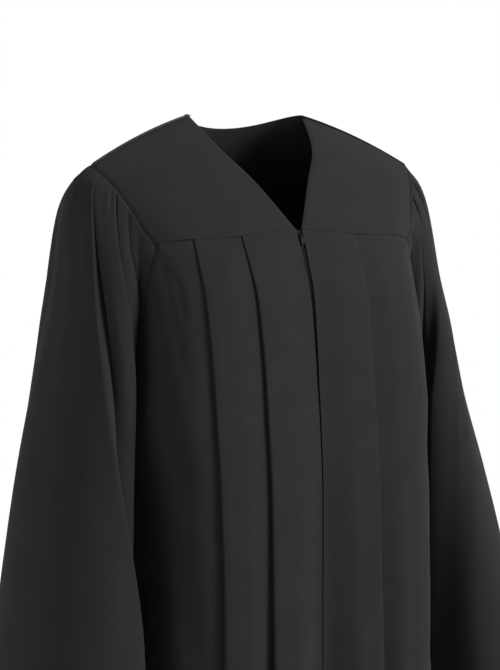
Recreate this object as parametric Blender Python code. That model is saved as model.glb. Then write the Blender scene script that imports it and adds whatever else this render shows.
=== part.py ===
"""A choir robe, worn: hollow cloth walls, yokes, knife pleats, bell sleeves and a front zip.

Metres, +Z up. The front faces -Y and the wearer's left is +X. The origin lies midway between the
two points where the shoulder seams meet the neck. Lengths across are called x, lengths towards the
front are called reach, and heights are measured from the origin, so they are negative.
"""
import bisect
import math
from collections import namedtuple

import bmesh
import bpy
from mathutils import Vector

# The cloth's wall, the zip tape's wall and the gap that the pieces keep at their seams.
WALL = 0.0012
TAPE_WALL = 0.0010
SEAM_GAP = 0.0003

NECK_HALF_WIDTH = 0.078
NAPE_REACH = -0.058
NAPE_HEIGHT = -0.016
SHOULDER_X = 0.2135
SHOULDER_REACH = 0.018
SHOULDER_HEIGHT = -0.058
SHOULDER_CROWN = 0.005
ZIP_END_HEIGHT = -0.750

# The yoke seams run level round the body and fall a little towards the armholes.
FRONT_SEAM_MIDDLE = -0.131
BACK_SEAM_MIDDLE = -0.138
SEAM_CORNER = -0.147

# One row for each level section of the body. half_width is the side of the oval, front_reach and
# back_reach its depth before and behind the side seams, and squareness its squared-oval power.
BodyRow = namedtuple(
    "BodyRow",
    "height half_width back_half_width front_reach back_reach squareness back_squareness "
    "edge_x centre_dip fold_pitch fold_depth inner_x outer_x back_inner_x back_outer_x",
)
BODY = (
    BodyRow(
        -0.147, 0.200, 0.200, 0.1215, 0.105, 3.2, 3.0,
        0.0035, 0.000, 0.0021, 0.026, 0.072, 0.134, 0.050, 0.112,
    ),
    BodyRow(
        -0.165, 0.189, 0.197, 0.1345, 0.107, 3.5, 3.0,
        0.0026, 0.000, 0.0023, 0.026, 0.072, 0.134, 0.050, 0.112,
    ),
    BodyRow(
        -0.200, 0.181, 0.192, 0.1490, 0.110, 4.2, 3.1,
        0.0016, 0.000, 0.0026, 0.026, 0.071, 0.133, 0.050, 0.113,
    ),
    BodyRow(
        -0.250, 0.180, 0.187, 0.1575, 0.113, 5.0, 3.2,
        0.0008, 0.000, 0.0029, 0.025, 0.071, 0.133, 0.051, 0.114,
    ),
    BodyRow(
        -0.300, 0.181, 0.184, 0.1640, 0.115, 5.4, 3.3,
        0.0004, 0.001, 0.0031, 0.024, 0.071, 0.133, 0.052, 0.115,
    ),
    BodyRow(
        -0.340, 0.183, 0.183, 0.1685, 0.116, 5.6, 3.4,
        0.0003, 0.001, 0.0033, 0.024, 0.071, 0.133, 0.052, 0.115,
    ),
    BodyRow(
        -0.420, 0.178, 0.178, 0.1765, 0.119, 5.6, 3.5,
        0.0003, 0.003, 0.0036, 0.023, 0.071, 0.131, 0.053, 0.116,
    ),
    BodyRow(
        -0.550, 0.182, 0.182, 0.1810, 0.125, 5.4, 3.4,
        0.0003, 0.007, 0.0046, 0.022, 0.072, 0.130, 0.056, 0.120,
    ),
    BodyRow(
        -0.750, 0.196, 0.196, 0.1860, 0.138, 4.2, 3.1,
        0.0003, 0.010, 0.0072, 0.022, 0.074, 0.134, 0.062, 0.132,
    ),
    BodyRow(
        -1.000, 0.235, 0.235, 0.1900, 0.156, 3.2, 2.8,
        0.0003, 0.010, 0.0092, 0.023, 0.086, 0.158, 0.074, 0.158,
    ),
    BodyRow(
        -1.200, 0.262, 0.262, 0.1940, 0.170, 2.9, 2.6,
        0.0003, 0.010, 0.0110, 0.024, 0.094, 0.174, 0.082, 0.176,
    ),
)

# How far in front of and behind the side seam the armhole edges lie, from the yoke to the underarm.
ArmholeRow = namedtuple("ArmholeRow", "height front_reach back_reach")
ARMHOLE = (
    ArmholeRow(-0.147, 0.091, 0.070),
    ArmholeRow(-0.165, 0.092, 0.074),
    ArmholeRow(-0.200, 0.085, 0.073),
    ArmholeRow(-0.250, 0.072, 0.062),
    ArmholeRow(-0.300, 0.049, 0.042),
    ArmholeRow(-0.340, 0.00015, 0.00015),
)

# Edges of the yokes, each from its upper end down.
EdgePoint = namedtuple("EdgePoint", "x reach height")
NECK_EDGE = (
    EdgePoint(0.078, 0.000, 0.000),
    EdgePoint(0.062, 0.050, -0.040),
    EdgePoint(0.036, 0.0815, -0.080),
    EdgePoint(0.0035, 0.1215, -0.131),
)
FRONT_YOKE_ARM_EDGE = (
    EdgePoint(0.2135, 0.018, -0.058),
    EdgePoint(0.209, 0.033, -0.067),
    EdgePoint(0.200, 0.052, -0.083),
    EdgePoint(0.189, 0.070, -0.107),
    EdgePoint(0.181, 0.082, -0.128),
    EdgePoint(0.171, 0.091, -0.147),
)
BACK_YOKE_ARM_EDGE = (
    EdgePoint(0.2135, 0.018, -0.058),
    EdgePoint(0.207, -0.012, -0.078),
    EdgePoint(0.196, -0.038, -0.102),
    EdgePoint(0.186, -0.056, -0.126),
    EdgePoint(0.178, -0.070, -0.147),
)

# One row for each level section of a sleeve, an oval whose folds turn towards the body as they fall.
SleeveRow = namedtuple("SleeveRow", "height centre_x centre_reach half_width half_depth turn")
SLEEVE = (
    SleeveRow(-0.058, 0.2000, 0.014, 0.0140, 0.014, -0.55),
    SleeveRow(-0.070, 0.2030, 0.012, 0.0190, 0.027, -0.55),
    SleeveRow(-0.085, 0.2060, 0.010, 0.0250, 0.041, -0.50),
    SleeveRow(-0.115, 0.2080, 0.008, 0.0300, 0.056, -0.43),
    SleeveRow(-0.200, 0.2110, 0.008, 0.0350, 0.078, -0.38),
    SleeveRow(-0.270, 0.2195, 0.011, 0.0395, 0.088, -0.16),
    SleeveRow(-0.340, 0.2290, 0.015, 0.0455, 0.096, 0.10),
    SleeveRow(-0.420, 0.2400, 0.023, 0.0530, 0.106, 0.32),
    SleeveRow(-0.500, 0.2490, 0.032, 0.0590, 0.116, 0.55),
    SleeveRow(-0.580, 0.2570, 0.038, 0.0640, 0.126, 0.74),
    SleeveRow(-0.700, 0.2690, 0.044, 0.0730, 0.140, 0.85),
)
CUFF_HEIGHT = -0.700
SLEEVE_SETTLE = 0.032
SLEEVE_ROW_SHARES = (0.03, 0.08, 0.15, 0.24, 0.34, 0.46, 0.59, 0.73, 0.87, 1)
# The sleeve stands off its seam by this much before it falls, and hangs this clear of the body
# once it has fallen by the settled drop.
SLEEVE_STAND = 0.0030
SLEEVE_STAND_SHARE = 0.006
SLEEVE_CLEAR = 0.0060
SLEEVE_CLEAR_DROP = 0.080

# Where each fold of a sleeve runs, by its place round the oval in degrees: 0 outer, 90 front,
# 180 inner, 270 back. Its rise is measured at the armhole and at the cuff.
FluteRow = namedtuple("FluteRow", "place spread rise_top rise_cuff")
FLUTES = (
    FluteRow(22, 15, 0.000, 0.003),
    FluteRow(48, 12, -0.002, -0.005),
    FluteRow(75, 10, 0.004, 0.009),
    FluteRow(100, 9, -0.005, -0.015),
    FluteRow(127, 9, 0.005, -0.009),
    FluteRow(150, 7, -0.002, -0.006),
    FluteRow(214, 8, -0.001, -0.006),
    FluteRow(234, 9, 0.003, 0.009),
    FluteRow(260, 9, -0.004, -0.013),
    FluteRow(285, 10, 0.003, 0.008),
    FluteRow(315, 12, -0.001, -0.005),
    FluteRow(340, 13, 0.000, 0.003),
)

# The gathers of a sleeve head start along the yoke's edge and fade down the sleeve.
GatherRow = namedtuple("GatherRow", "share depth length")
GATHERS = (
    GatherRow(0.085, 0.0022, 0.16),
    GatherRow(0.25, 0.0034, 0.11),
    GatherRow(0.42, 0.0034, 0.09),
    GatherRow(0.585, 0.0030, 0.07),
)
GATHER_SPREAD = 0.045
GATHER_START_DROP = 0.012

YOKE_ROWS = 6
YOKE_COLUMNS = 8
NECK_COLUMNS = 8
# Places round the sleeve's oval for the points of its head, front yoke edge then front panel edge.
HEAD_PLACES = (0, 75, 92, 107, 121, 134, 145, 151, 157, 164, 172, 180)
HEAD_SPLITS = (8, 2, 2, 2, 2, 2, 1, 1, 1, 1, 1)

FOLD_ARC_STEPS = 3
FRONT_SPANS = (4, 4, 7)
BACK_SPANS = (4, 4, 7)

# Columns of the zip tape by their distance from the middle, how much of the front's rise they
# follow, and how far below the neck's point the tape starts.
TAPE_COLUMNS = (0.0006, 0.0045, 0.0085, 0.0125)
TAPE_FOLLOW = 0.9
TAPE_START_DROP = 0.002

SLIDER_TOP = -0.1350
SLIDER_LENGTH = 0.0090
SLIDER_TOP_HALF_WIDTH = 0.0028
SLIDER_FOOT_HALF_WIDTH = 0.0021
SLIDER_UNDER = -0.0007
SLIDER_OVER = 0.0013
ARCH_HALF_WIDTH = 0.0006
ARCH_HALF_LENGTH = 0.0033
ARCH_RISE = 0.0026
ARCH_PLACE = SLIDER_LENGTH * 0.42
ARCH_ROUNDNESS = 0.6
ARCH_ROOT_DEPTH = 0.0003
ARCH_BAND = 0.0006
TAB_LENGTH = 0.0115
TAB_HALF_WIDTH = 0.0023
TAB_THICKNESS = 0.0009
TAB_WINDOW_HALF_WIDTH = 0.0011
TAB_WINDOW_LENGTH = 0.0034
TAB_BAR = 0.0009
TAB_PIVOT_RISE = 0.0024
TAB_REST_TILT = math.radians(4)

CLOTH_BLACK = (0.0105, 0.0108, 0.0118, 1)
ZIP_BLACK = (0.008, 0.008, 0.009, 1)


def clear_scene():
    for item in list(bpy.data.objects):
        bpy.data.objects.remove(item, do_unlink=True)


def make_material(name, colour, roughness, metallic=0.0):
    material = bpy.data.materials.new(name)
    material.use_nodes = True
    shader = material.node_tree.nodes["Principled BSDF"]
    shader.inputs["Base Color"].default_value = colour
    shader.inputs["Roughness"].default_value = roughness
    shader.inputs["Metallic"].default_value = metallic
    return material


def ease(value):
    value = min(max(value, 0.0), 1.0)
    return value * value * (3 - 2 * value)


def row_at(table, key):
    """The row of a table at a key between its rows, as a smooth curve through them."""
    keys = [abs(row[0]) for row in table]
    key = min(max(abs(key), keys[0]), keys[-1])
    first = min(bisect.bisect_right(keys, key) - 1, len(keys) - 2)
    span = keys[first + 1] - keys[first]
    part = (key - keys[first]) / span
    values = []
    for column in range(len(table[0])):
        line = [row[column] for row in table]

        def slope(place):
            before = max(place - 1, 0)
            after = min(place + 1, len(line) - 1)
            return (line[after] - line[before]) / (keys[after] - keys[before])

        start, end = line[first], line[first + 1]
        lead_in, lead_out = slope(first) * span, slope(first + 1) * span
        values.append(
            start * (1 + 2 * part) * (1 - part) ** 2
            + lead_in * part * (1 - part) ** 2
            + end * part * part * (3 - 2 * part)
            + lead_out * part * part * (part - 1)
        )
    return type(table[0])(*values)


class Quarter:
    """A quarter of a squared oval in plan, measured from its middle round to its side."""

    STEPS = 200
    LEAN = 0.004

    def __init__(self, half_width, reach, squareness):
        power = 2 / squareness
        self.points = []
        for step in range(self.STEPS + 1):
            angle = math.pi / 4 * (1 - math.cos(math.pi * step / self.STEPS))
            across = half_width * math.sin(angle) ** power
            out = reach * max(math.cos(angle), 0.0) ** power
            self.points.append((across, out))
        self.lengths = [0.0]
        for before, after in zip(self.points, self.points[1:]):
            self.lengths.append(self.lengths[-1] + math.dist(before, after))

    def at(self, along):
        along = min(max(along, 0.0), self.lengths[-1])
        first = min(bisect.bisect_right(self.lengths, along) - 1, self.STEPS - 1)
        span = self.lengths[first + 1] - self.lengths[first]
        part = (along - self.lengths[first]) / span
        before, after = self.points[first], self.points[first + 1]
        return (before[0] + (after[0] - before[0]) * part, before[1] + (after[1] - before[1]) * part)

    def length_at_x(self, across):
        first = max(step for step in range(self.STEPS) if self.points[step][0] <= across)
        before, after = self.points[first], self.points[first + 1]
        part = (across - before[0]) / (after[0] - before[0])
        return self.lengths[first] + (self.lengths[first + 1] - self.lengths[first]) * part

    def length_at_reach(self, reach):
        first = max(step for step in range(self.STEPS) if self.points[step][1] >= reach)
        before, after = self.points[first], self.points[first + 1]
        part = (before[1] - reach) / (before[1] - after[1])
        return self.lengths[first] + (self.lengths[first + 1] - self.lengths[first]) * part

    def place(self, along, out):
        """The plan point that stands out from the oval, at a length along it."""
        here = self.at(along)
        if along < self.LEAN:
            return (here[0], here[1] + out)
        before, after = self.at(along - self.LEAN), self.at(along + self.LEAN)
        if along > self.lengths[-1] - self.LEAN:
            return (here[0] + out, here[1])
        run = math.dist(before, after)
        normal = ((before[1] - after[1]) / run, (after[0] - before[0]) / run)
        return (here[0] + out * normal[0], here[1] + out * normal[1])


def plain_span(start, end, steps):
    """Points from start to end, both (along, out), that rise smoothly; the end is left off."""
    points = []
    for step in range(steps):
        part = step / steps
        along = start[0] + (end[0] - start[0]) * part
        points.append((along, start[1] + (end[1] - start[1]) * ease(part)))
    return points


def pleated_path(start, end, start_out, folds, pitch, depth, spans, arc_steps):
    """A cloth section with knife pleats: each fold edge looks away from the middle.

    At a fold the cloth turns back under itself by depth and turns again, in three layers that
    lie pitch apart. The points are (length along the oval, distance out from it).
    """
    path = []
    here = (start, start_out)
    for fold, steps in zip(folds, spans):
        crest = (fold - depth - pitch, 2 * pitch)
        path += plain_span(here, crest, steps)
        path.append(crest)
        radius = pitch / 2
        for step in range(arc_steps + 1):
            angle = math.pi * step / arc_steps
            along = fold - radius + radius * math.sin(angle)
            path.append((along, 3 * radius + radius * math.cos(angle)))
        for step in range(arc_steps + 1):
            angle = math.pi * step / arc_steps
            along = fold - depth + radius - radius * math.sin(angle)
            path.append((along, radius + radius * math.cos(angle)))
        here = (fold + radius, 0.0)
    path += plain_span(here, (end, 0.0), spans[len(folds)])
    path.append((end, 0.0))
    return path


def seam_height(middle, share):
    return middle + (SEAM_CORNER - middle) * share


def body_section(row, front, top=False):
    """One side's section of the front or the back as (x, reach, height) points."""
    if front:
        quarter = Quarter(row.half_width, row.front_reach, row.squareness)
        start = quarter.length_at_x(row.edge_x)
        folds = [quarter.length_at_x(row.inner_x), quarter.length_at_x(row.outer_x)]
        spans, dip, middle = FRONT_SPANS, row.centre_dip, FRONT_SEAM_MIDDLE
    else:
        quarter = Quarter(row.back_half_width, row.back_reach, row.back_squareness)
        start = 0.0
        folds = [quarter.length_at_x(row.back_inner_x), quarter.length_at_x(row.back_outer_x)]
        spans, dip, middle = BACK_SPANS, 0.0, BACK_SEAM_MIDDLE
    edge = row_at(ARMHOLE, row.height)
    end = quarter.length_at_reach(edge.front_reach if front else edge.back_reach)
    path = pleated_path(start, end, -dip, folds, row.fold_pitch, row.fold_depth, spans, FOLD_ARC_STEPS)
    section = []
    for along, out in path:
        across, reach = quarter.place(along, out)
        height = seam_height(middle, along / end) - SEAM_GAP / 2 if top else row.height
        section.append(Vector((across, -reach if front else reach, height)))
    return section


def front_grid():
    return [body_section(row, True, top=row is BODY[0]) for row in BODY]


def back_grid():
    """The back in one piece: its left half, then its right half from the middle on."""
    grid = []
    for row in BODY:
        half = body_section(row, False, top=row is BODY[0])
        mirrored = [Vector((-point.x, point.y, point.z)) for point in half[1:]]
        grid.append(half[::-1] + mirrored)
    return grid


def through(points, share):
    """A point on a smooth curve through edge points, at a share of its length."""
    line = [Vector((point.x, -point.reach, point.height)) for point in points]
    lengths = [0.0]
    for before, after in zip(line, line[1:]):
        lengths.append(lengths[-1] + (after - before).length)
    along = min(max(share, 0.0), 1.0) * lengths[-1]
    first = min(bisect.bisect_right(lengths, along) - 1, len(line) - 2)
    span = lengths[first + 1] - lengths[first]
    part = (along - lengths[first]) / span

    def slope(place):
        before = max(place - 1, 0)
        after = min(place + 1, len(line) - 1)
        return (line[after] - line[before]) / (lengths[after] - lengths[before])

    return (
        line[first] * (1 + 2 * part) * (1 - part) ** 2
        + slope(first) * span * part * (1 - part) ** 2
        + line[first + 1] * part * part * (3 - 2 * part)
        + slope(first + 1) * span * part * part * (part - 1)
    )


def shoulder_line(share, towards_back):
    """The shoulder seam from the neck outwards, half the seam gap to one side of it."""
    across = NECK_HALF_WIDTH + (SHOULDER_X - NECK_HALF_WIDTH) * share
    reach = SHOULDER_REACH * share
    crown = SHOULDER_CROWN * 4 * share * (1 - share)
    gap = SEAM_GAP / 2 if towards_back else -SEAM_GAP / 2
    return Vector((across, -reach + gap, SHOULDER_HEIGHT * share + crown))


def yoke_seam(share, front):
    """The lower edge of a yoke, from the middle to the armhole, just above the pleated panel."""
    row = BODY[0]
    if front:
        quarter = Quarter(row.half_width, row.front_reach, row.squareness)
        start, folds = quarter.length_at_x(row.edge_x), (row.inner_x, row.outer_x)
        end, middle = quarter.length_at_reach(ARMHOLE[0].front_reach), FRONT_SEAM_MIDDLE
    else:
        quarter = Quarter(row.back_half_width, row.back_reach, row.back_squareness)
        start, folds = 0.0, (row.back_inner_x, row.back_outer_x)
        end, middle = quarter.length_at_reach(ARMHOLE[0].back_reach), BACK_SEAM_MIDDLE
    along = start + (end - start) * share
    first = quarter.length_at_x(folds[0]) - row.fold_depth
    last = quarter.length_at_x(folds[1])
    rise = ease((along - start) / (first - start)) if along < first else 1.0
    if along > last:
        rise = 1 - ease((along - last) / (end - last))
    across, reach = quarter.place(along, 2 * row.fold_pitch * rise)
    height = seam_height(middle, along / end) + SEAM_GAP / 2
    return Vector((across, -reach if front else reach, height))


def patch(top, bottom, left, right, columns, rows):
    """A surface between four edge curves; each is a function of a share from 0 to 1."""
    grid = []
    for row in range(rows + 1):
        down = row / rows
        line = []
        for column in range(columns + 1):
            across = column / columns
            ruled = top(across) * (1 - down) + bottom(across) * down
            sides = left(down) * (1 - across) + right(down) * across
            corners = (top(0) * (1 - across) + top(1) * across) * (1 - down)
            corners += (bottom(0) * (1 - across) + bottom(1) * across) * down
            line.append(ruled + sides - corners)
        grid.append(line)
    return grid


def held_between(points, start, end):
    """The smooth curve through edge points, moved so that its ends are exactly start and end."""
    first_shift = start - through(points, 0)
    last_shift = end - through(points, 1)

    def curve(share):
        return through(points, share) + first_shift * (1 - share) + last_shift * share

    return curve


def front_yoke_grid():
    def top(share):
        return shoulder_line(share, False)

    def bottom(share):
        return yoke_seam(share, True)

    neck = held_between(NECK_EDGE, top(0), bottom(0))
    arm = held_between(FRONT_YOKE_ARM_EDGE, top(1), bottom(1))
    return patch(top, bottom, neck, arm, YOKE_COLUMNS, YOKE_ROWS)


def back_yoke_grid():
    """The back yoke from the left armhole across to the right one."""
    columns = 2 * YOKE_COLUMNS + NECK_COLUMNS
    shoulder_share = YOKE_COLUMNS / columns

    def half_top(share):
        """From the armhole (0) to the nape (0.5)."""
        if share <= shoulder_share:
            return shoulder_line(1 - share / shoulder_share, True)
        angle = math.pi / 2 * (share - shoulder_share) / (0.5 - shoulder_share)
        return Vector((
            NECK_HALF_WIDTH * math.cos(angle),
            SEAM_GAP / 2 - NAPE_REACH * math.sin(angle),
            NAPE_HEIGHT * math.sin(angle) ** 2,
        ))

    def mirrored(point):
        return Vector((-point.x, point.y, point.z))

    def top(share):
        return half_top(share) if share <= 0.5 else mirrored(half_top(1 - share))

    def bottom(share):
        if share <= 0.5:
            return yoke_seam(1 - 2 * share, False)
        return mirrored(yoke_seam(2 * share - 1, False))

    left = held_between(BACK_YOKE_ARM_EDGE, top(0), bottom(0))

    def right(share):
        return mirrored(left(share))

    return patch(top, bottom, left, right, columns, YOKE_ROWS)


def head_loop(front_panel, back_panel, front_yoke, back_yoke):
    """The armhole as (point, away, out, place round the sleeve, head share).

    away leads off the cloth's edge and out leads off its face. The loop starts at the shoulder,
    runs down the front to the underarm and up the back.
    """
    def edge(grid, column, inner, turn):
        line = []
        for index, row in enumerate(grid):
            across = row[column] - row[inner]
            below = grid[min(index + 1, len(grid) - 1)]
            down = below[column] - grid[max(index - 1, 0)][column]
            out = (down.cross(across) * turn).normalized()
            line.append((row[column], (out.cross(down) * turn).normalized(), out))
        return line

    front = edge(front_yoke, -1, -2, 1) + edge(front_panel, -1, -2, 1)[1:]
    back = edge(back_yoke, 0, 1, -1) + edge(back_panel, 0, 1, -1)[1:]
    count = len(HEAD_PLACES)
    loop = []
    for side, line in ((1, front[:count]), (-1, back[:count])):
        half = []
        for index in range(count - 1):
            for split in range(HEAD_SPLITS[index]):
                part = split / HEAD_SPLITS[index]
                vectors = [a.lerp(b, part) for a, b in zip(line[index], line[index + 1])]
                place = HEAD_PLACES[index] + (HEAD_PLACES[index + 1] - HEAD_PLACES[index]) * part
                half.append((
                    vectors[0], vectors[1].normalized(), vectors[2].normalized(),
                    place * side, (index + part) / YOKE_ROWS,
                ))
        loop.append(half)
    front_half, back_half = loop
    top_front, top_back = front_half[0], back_half[0]
    shoulder = (top_front[0].lerp(top_back[0], 0.5), top_front[1], top_front[2], 0, 0)
    underarm = front[count - 1][0].lerp(back[count - 1][0], 0.5)
    sideways = Vector((1, 0, 0))
    underarm += sideways * (WALL + SEAM_GAP)
    bottom = (underarm, sideways, sideways, 180, (count - 1) / YOKE_ROWS)
    return [shoulder] + front_half[1:] + [bottom] + back_half[:0:-1]


def sleeve_oval(height, place):
    """A point of a sleeve's section with its direction out, for a place in degrees."""
    row = row_at(SLEEVE, height)
    angle = math.radians(place)
    angle += row.turn * math.sin(angle)
    out = Vector((row.half_depth * math.cos(angle), -row.half_width * math.sin(angle), 0)).normalized()
    point = Vector((
        row.centre_x + row.half_width * math.cos(angle),
        -(row.centre_reach + row.half_depth * math.sin(angle)),
        height,
    ))
    return point, out


def flute_rise(place, down):
    rise = 0.0
    for flute in FLUTES:
        offset = (place - flute.place + 180) % 360 - 180
        amount = flute.rise_top + (flute.rise_cuff - flute.rise_top) * down
        rise += amount * math.exp(-((offset / flute.spread) ** 2))
    return rise


def gather_rise(share, drop):
    rise = 0.0
    for gather in GATHERS:
        across = math.exp(-(((share - gather.share) / GATHER_SPREAD) ** 2))
        along = ease(drop / GATHER_START_DROP) * (1 - ease(drop / gather.length))
        rise -= gather.depth * across * along
    return rise


def body_side(point):
    """How far across the body reaches at a point's height and depth."""
    row = row_at(BODY, point.z)
    if point.y < 0:
        half_width, reach, power = row.half_width, row.front_reach, row.squareness
    else:
        half_width, reach, power = row.back_half_width, row.back_reach, row.back_squareness
    rest = 1 - (abs(point.y) / reach) ** power
    return half_width * rest ** (1 / power) if rest > 0 else 0


def sleeve_grid(loop):
    """The left sleeve: each column stands off the armhole and falls to the cuff."""
    def fallen(start, place, share, down):
        height = start.z + (CUFF_HEIGHT - start.z) * down
        drop = start.z - height
        rest, out = sleeve_oval(height, place)
        lead = start - sleeve_oval(start.z, place)[0]
        lead.z = 0
        settle = math.exp(-drop / SLEEVE_SETTLE)
        fold = flute_rise(place, down) * (1 - settle) + gather_rise(share, drop)
        point = rest + lead * settle + out * fold
        if height < SEAM_CORNER:
            settled = ease(drop / SLEEVE_CLEAR_DROP)
            clear = SLEEVE_STAND + (SLEEVE_CLEAR - SLEEVE_STAND) * settled
            point.x = max(point.x, body_side(point) + clear)
        return point

    seam, stand = [], []
    for point, away, out, place, share in loop:
        start = point + away * (SEAM_GAP + WALL / 2)
        seam.append(start)
        hanging = fallen(start, place, share, SLEEVE_STAND_SHARE)
        stand.append(hanging.lerp(start + out * SLEEVE_STAND, ease(share)))
    grid = [seam, stand]
    for down in SLEEVE_ROW_SHARES:
        line = []
        for start, (_, _, _, place, share) in zip(seam, loop):
            line.append(fallen(start, place, share, down))
        grid.append(line)
    return grid


def grid_normals(grid, closed, turn, flat_rows, seam_rows):
    """The direction out at each grid point; flat rows keep it level, seam rows drop its Y."""
    last_row, count = len(grid) - 1, len(grid[0])
    normals = []
    for row in range(last_row + 1):
        line = []
        for column in range(count):
            above, below = grid[max(row - 1, 0)], grid[min(row + 1, last_row)]
            down = below[column] - above[column]
            if closed:
                across = grid[row][(column + 1) % count] - grid[row][(column - 1) % count]
            else:
                before = grid[row][max(column - 1, 0)]
                after = grid[row][min(column + 1, count - 1)]
                into, out_of = grid[row][column] - before, after - grid[row][column]
                across = into.normalized() + out_of.normalized()
            normal = down.cross(across) * turn
            if row in flat_rows:
                normal.z = 0
            if row in seam_rows:
                normal.y = 0
            line.append(normal.normalized())
        normals.append(line)
    return normals


def make_wall(name, grid, material, wall=WALL, closed=False, turn=1, flat_rows=(), seam_rows=()):
    """A closed solid: the grid is the middle of the cloth, and half the wall lies on each side."""
    rows, columns = len(grid), len(grid[0])
    normals = grid_normals(grid, closed, turn, flat_rows, seam_rows)
    mesh_data = bmesh.new()
    layers = []
    for side in (wall / 2, -wall / 2):
        layer = []
        for row in range(rows):
            layer.append([
                mesh_data.verts.new(grid[row][column] + normals[row][column] * side)
                for column in range(columns)
            ])
        layers.append(layer)
    outer, inner = layers
    add_face = mesh_data.faces.new
    spans = columns if closed else columns - 1
    for row in range(rows - 1):
        for column in range(spans):
            after, below = (column + 1) % columns, row + 1
            add_face((outer[row][column], outer[below][column], outer[below][after], outer[row][after]))
            add_face((inner[row][column], inner[row][after], inner[below][after], inner[below][column]))
    for column in range(spans):
        after = (column + 1) % columns
        add_face((outer[0][column], outer[0][after], inner[0][after], inner[0][column]))
        add_face((outer[-1][after], outer[-1][column], inner[-1][column], inner[-1][after]))
    if not closed:
        for row in range(rows - 1):
            add_face((outer[row + 1][0], outer[row][0], inner[row][0], inner[row + 1][0]))
            add_face((outer[row][-1], outer[row + 1][-1], inner[row + 1][-1], inner[row][-1]))
    return finish_mesh(name, mesh_data, material)


def finish_mesh(name, mesh_data, material, location=(0, 0, 0)):
    bmesh.ops.recalc_face_normals(mesh_data, faces=mesh_data.faces)
    bmesh.ops.triangulate(mesh_data, faces=mesh_data.faces)
    mesh = bpy.data.meshes.new(name)
    mesh_data.to_mesh(mesh)
    mesh_data.free()
    mesh.shade_smooth()
    mesh.set_sharp_from_angle(angle=math.radians(50))
    mesh.materials.append(material)
    item = bpy.data.objects.new(name, mesh)
    item.location = location
    bpy.context.scene.collection.objects.link(item)
    return item


def mirror_grid(grid, closed=False):
    """The grid on the other side of the robe, its columns reversed so that it still faces out."""
    if closed:
        return [[Vector((-point.x, point.y, point.z)) for point in row] for row in grid]
    return [[Vector((-point.x, point.y, point.z)) for point in reversed(row)] for row in grid]


def tape_grid():
    """The zip tape behind the left front's edge, on the same sections as the front."""
    behind = WALL / 2 + SEAM_GAP + TAPE_WALL / 2
    grid = []
    for row in BODY:
        if row.height < ZIP_END_HEIGHT:
            break
        quarter = Quarter(row.half_width, row.front_reach, row.squareness)
        line = []
        for across in TAPE_COLUMNS:
            along = quarter.length_at_x(across)
            crest = quarter.length_at_x(row.inner_x) - row.fold_depth - row.fold_pitch
            start = quarter.length_at_x(row.edge_x)
            part = ease((along - start) / (crest - start))
            out = -row.centre_dip + (2 * row.fold_pitch + row.centre_dip) * part * TAPE_FOLLOW
            plan = quarter.place(along, out - behind)
            height = FRONT_SEAM_MIDDLE - TAPE_START_DROP if row is BODY[0] else row.height
            line.append(Vector((plan[0], -plan[1], height)))
        grid.append(line)
    return grid


def chest_frame():
    """The slider's seat: a point on the fronts' middle line, the way down it and the way out."""
    top, below = BODY[0], BODY[1]
    start = Vector((0, -top.front_reach, FRONT_SEAM_MIDDLE))
    down = (Vector((0, -below.front_reach, below.height)) - start).normalized()
    out = Vector((0, down.z, -down.y))
    seat = start + down * ((SLIDER_TOP - start.z) / down.z)
    return seat, down, out


def prism(mesh_data, outline, half_width, seat, down, out):
    """Extrude an outline of (along, rise) points to both sides of the middle line."""
    sides = []
    for across in (-half_width, half_width):
        sides.append([
            mesh_data.verts.new(seat + down * along + out * rise + Vector((across, 0, 0)))
            for along, rise in outline
        ])
    left, right = sides
    count = len(outline)
    mesh_data.faces.new(left)
    mesh_data.faces.new(reversed(right))
    for index in range(count):
        after = (index + 1) % count
        mesh_data.faces.new((left[after], left[index], right[index], right[after]))


def make_slider(material):
    """The slider body, tapered downwards, with the lengthwise arch that carries the tab."""
    seat, down, out = chest_frame()
    body_data = bmesh.new()
    half_outline = (
        (0.0000, SLIDER_TOP_HALF_WIDTH * 0.55),
        (0.0014, SLIDER_TOP_HALF_WIDTH),
        (0.0042, SLIDER_TOP_HALF_WIDTH),
        (SLIDER_LENGTH - 0.0008, SLIDER_FOOT_HALF_WIDTH),
        (SLIDER_LENGTH, SLIDER_FOOT_HALF_WIDTH * 0.7),
    )
    outline = list(half_outline) + [(along, -across) for along, across in reversed(half_outline)]
    levels = []
    for rise in (SLIDER_UNDER, SLIDER_OVER):
        levels.append([
            body_data.verts.new(seat + down * along + out * rise + Vector((across, 0, 0)))
            for along, across in outline
        ])
    under, over = levels
    body_data.faces.new(under)
    body_data.faces.new(reversed(over))
    for index in range(len(outline)):
        after = (index + 1) % len(outline)
        body_data.faces.new((under[after], under[index], over[index], over[after]))
    slider = finish_mesh("zip_slider", body_data, material)

    arch_data = bmesh.new()
    root = SLIDER_OVER - ARCH_ROOT_DEPTH
    outer_line, inner_line = [], []
    for step in range(7):
        angle = math.pi * step / 6
        swell = math.sin(angle) ** ARCH_ROUNDNESS
        reach = math.cos(angle)
        outer_line.append((ARCH_PLACE - ARCH_HALF_LENGTH * reach, SLIDER_OVER + ARCH_RISE * swell))
        inner_line.append((
            ARCH_PLACE - (ARCH_HALF_LENGTH - ARCH_BAND) * reach,
            SLIDER_OVER + (ARCH_RISE - ARCH_BAND) * swell,
        ))
    outline = [(outer_line[0][0], root)] + outer_line[1:-1] + [(outer_line[-1][0], root)]
    outline += [(inner_line[-1][0], root)] + inner_line[-2:0:-1] + [(inner_line[0][0], root)]
    prism(arch_data, outline, ARCH_HALF_WIDTH, seat, down, out)
    arch = finish_mesh("slider_arch", arch_data, material)
    arch.hide_render = True
    arch.display_type = "WIRE"
    join = slider.modifiers.new("arch", "BOOLEAN")
    join.operation = "UNION"
    join.solver = "EXACT"
    join.object = arch
    return slider


def pull_tab_pivot():
    seat, down, out = chest_frame()
    return seat + down * ARCH_PLACE + out * TAB_PIVOT_RISE


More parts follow.
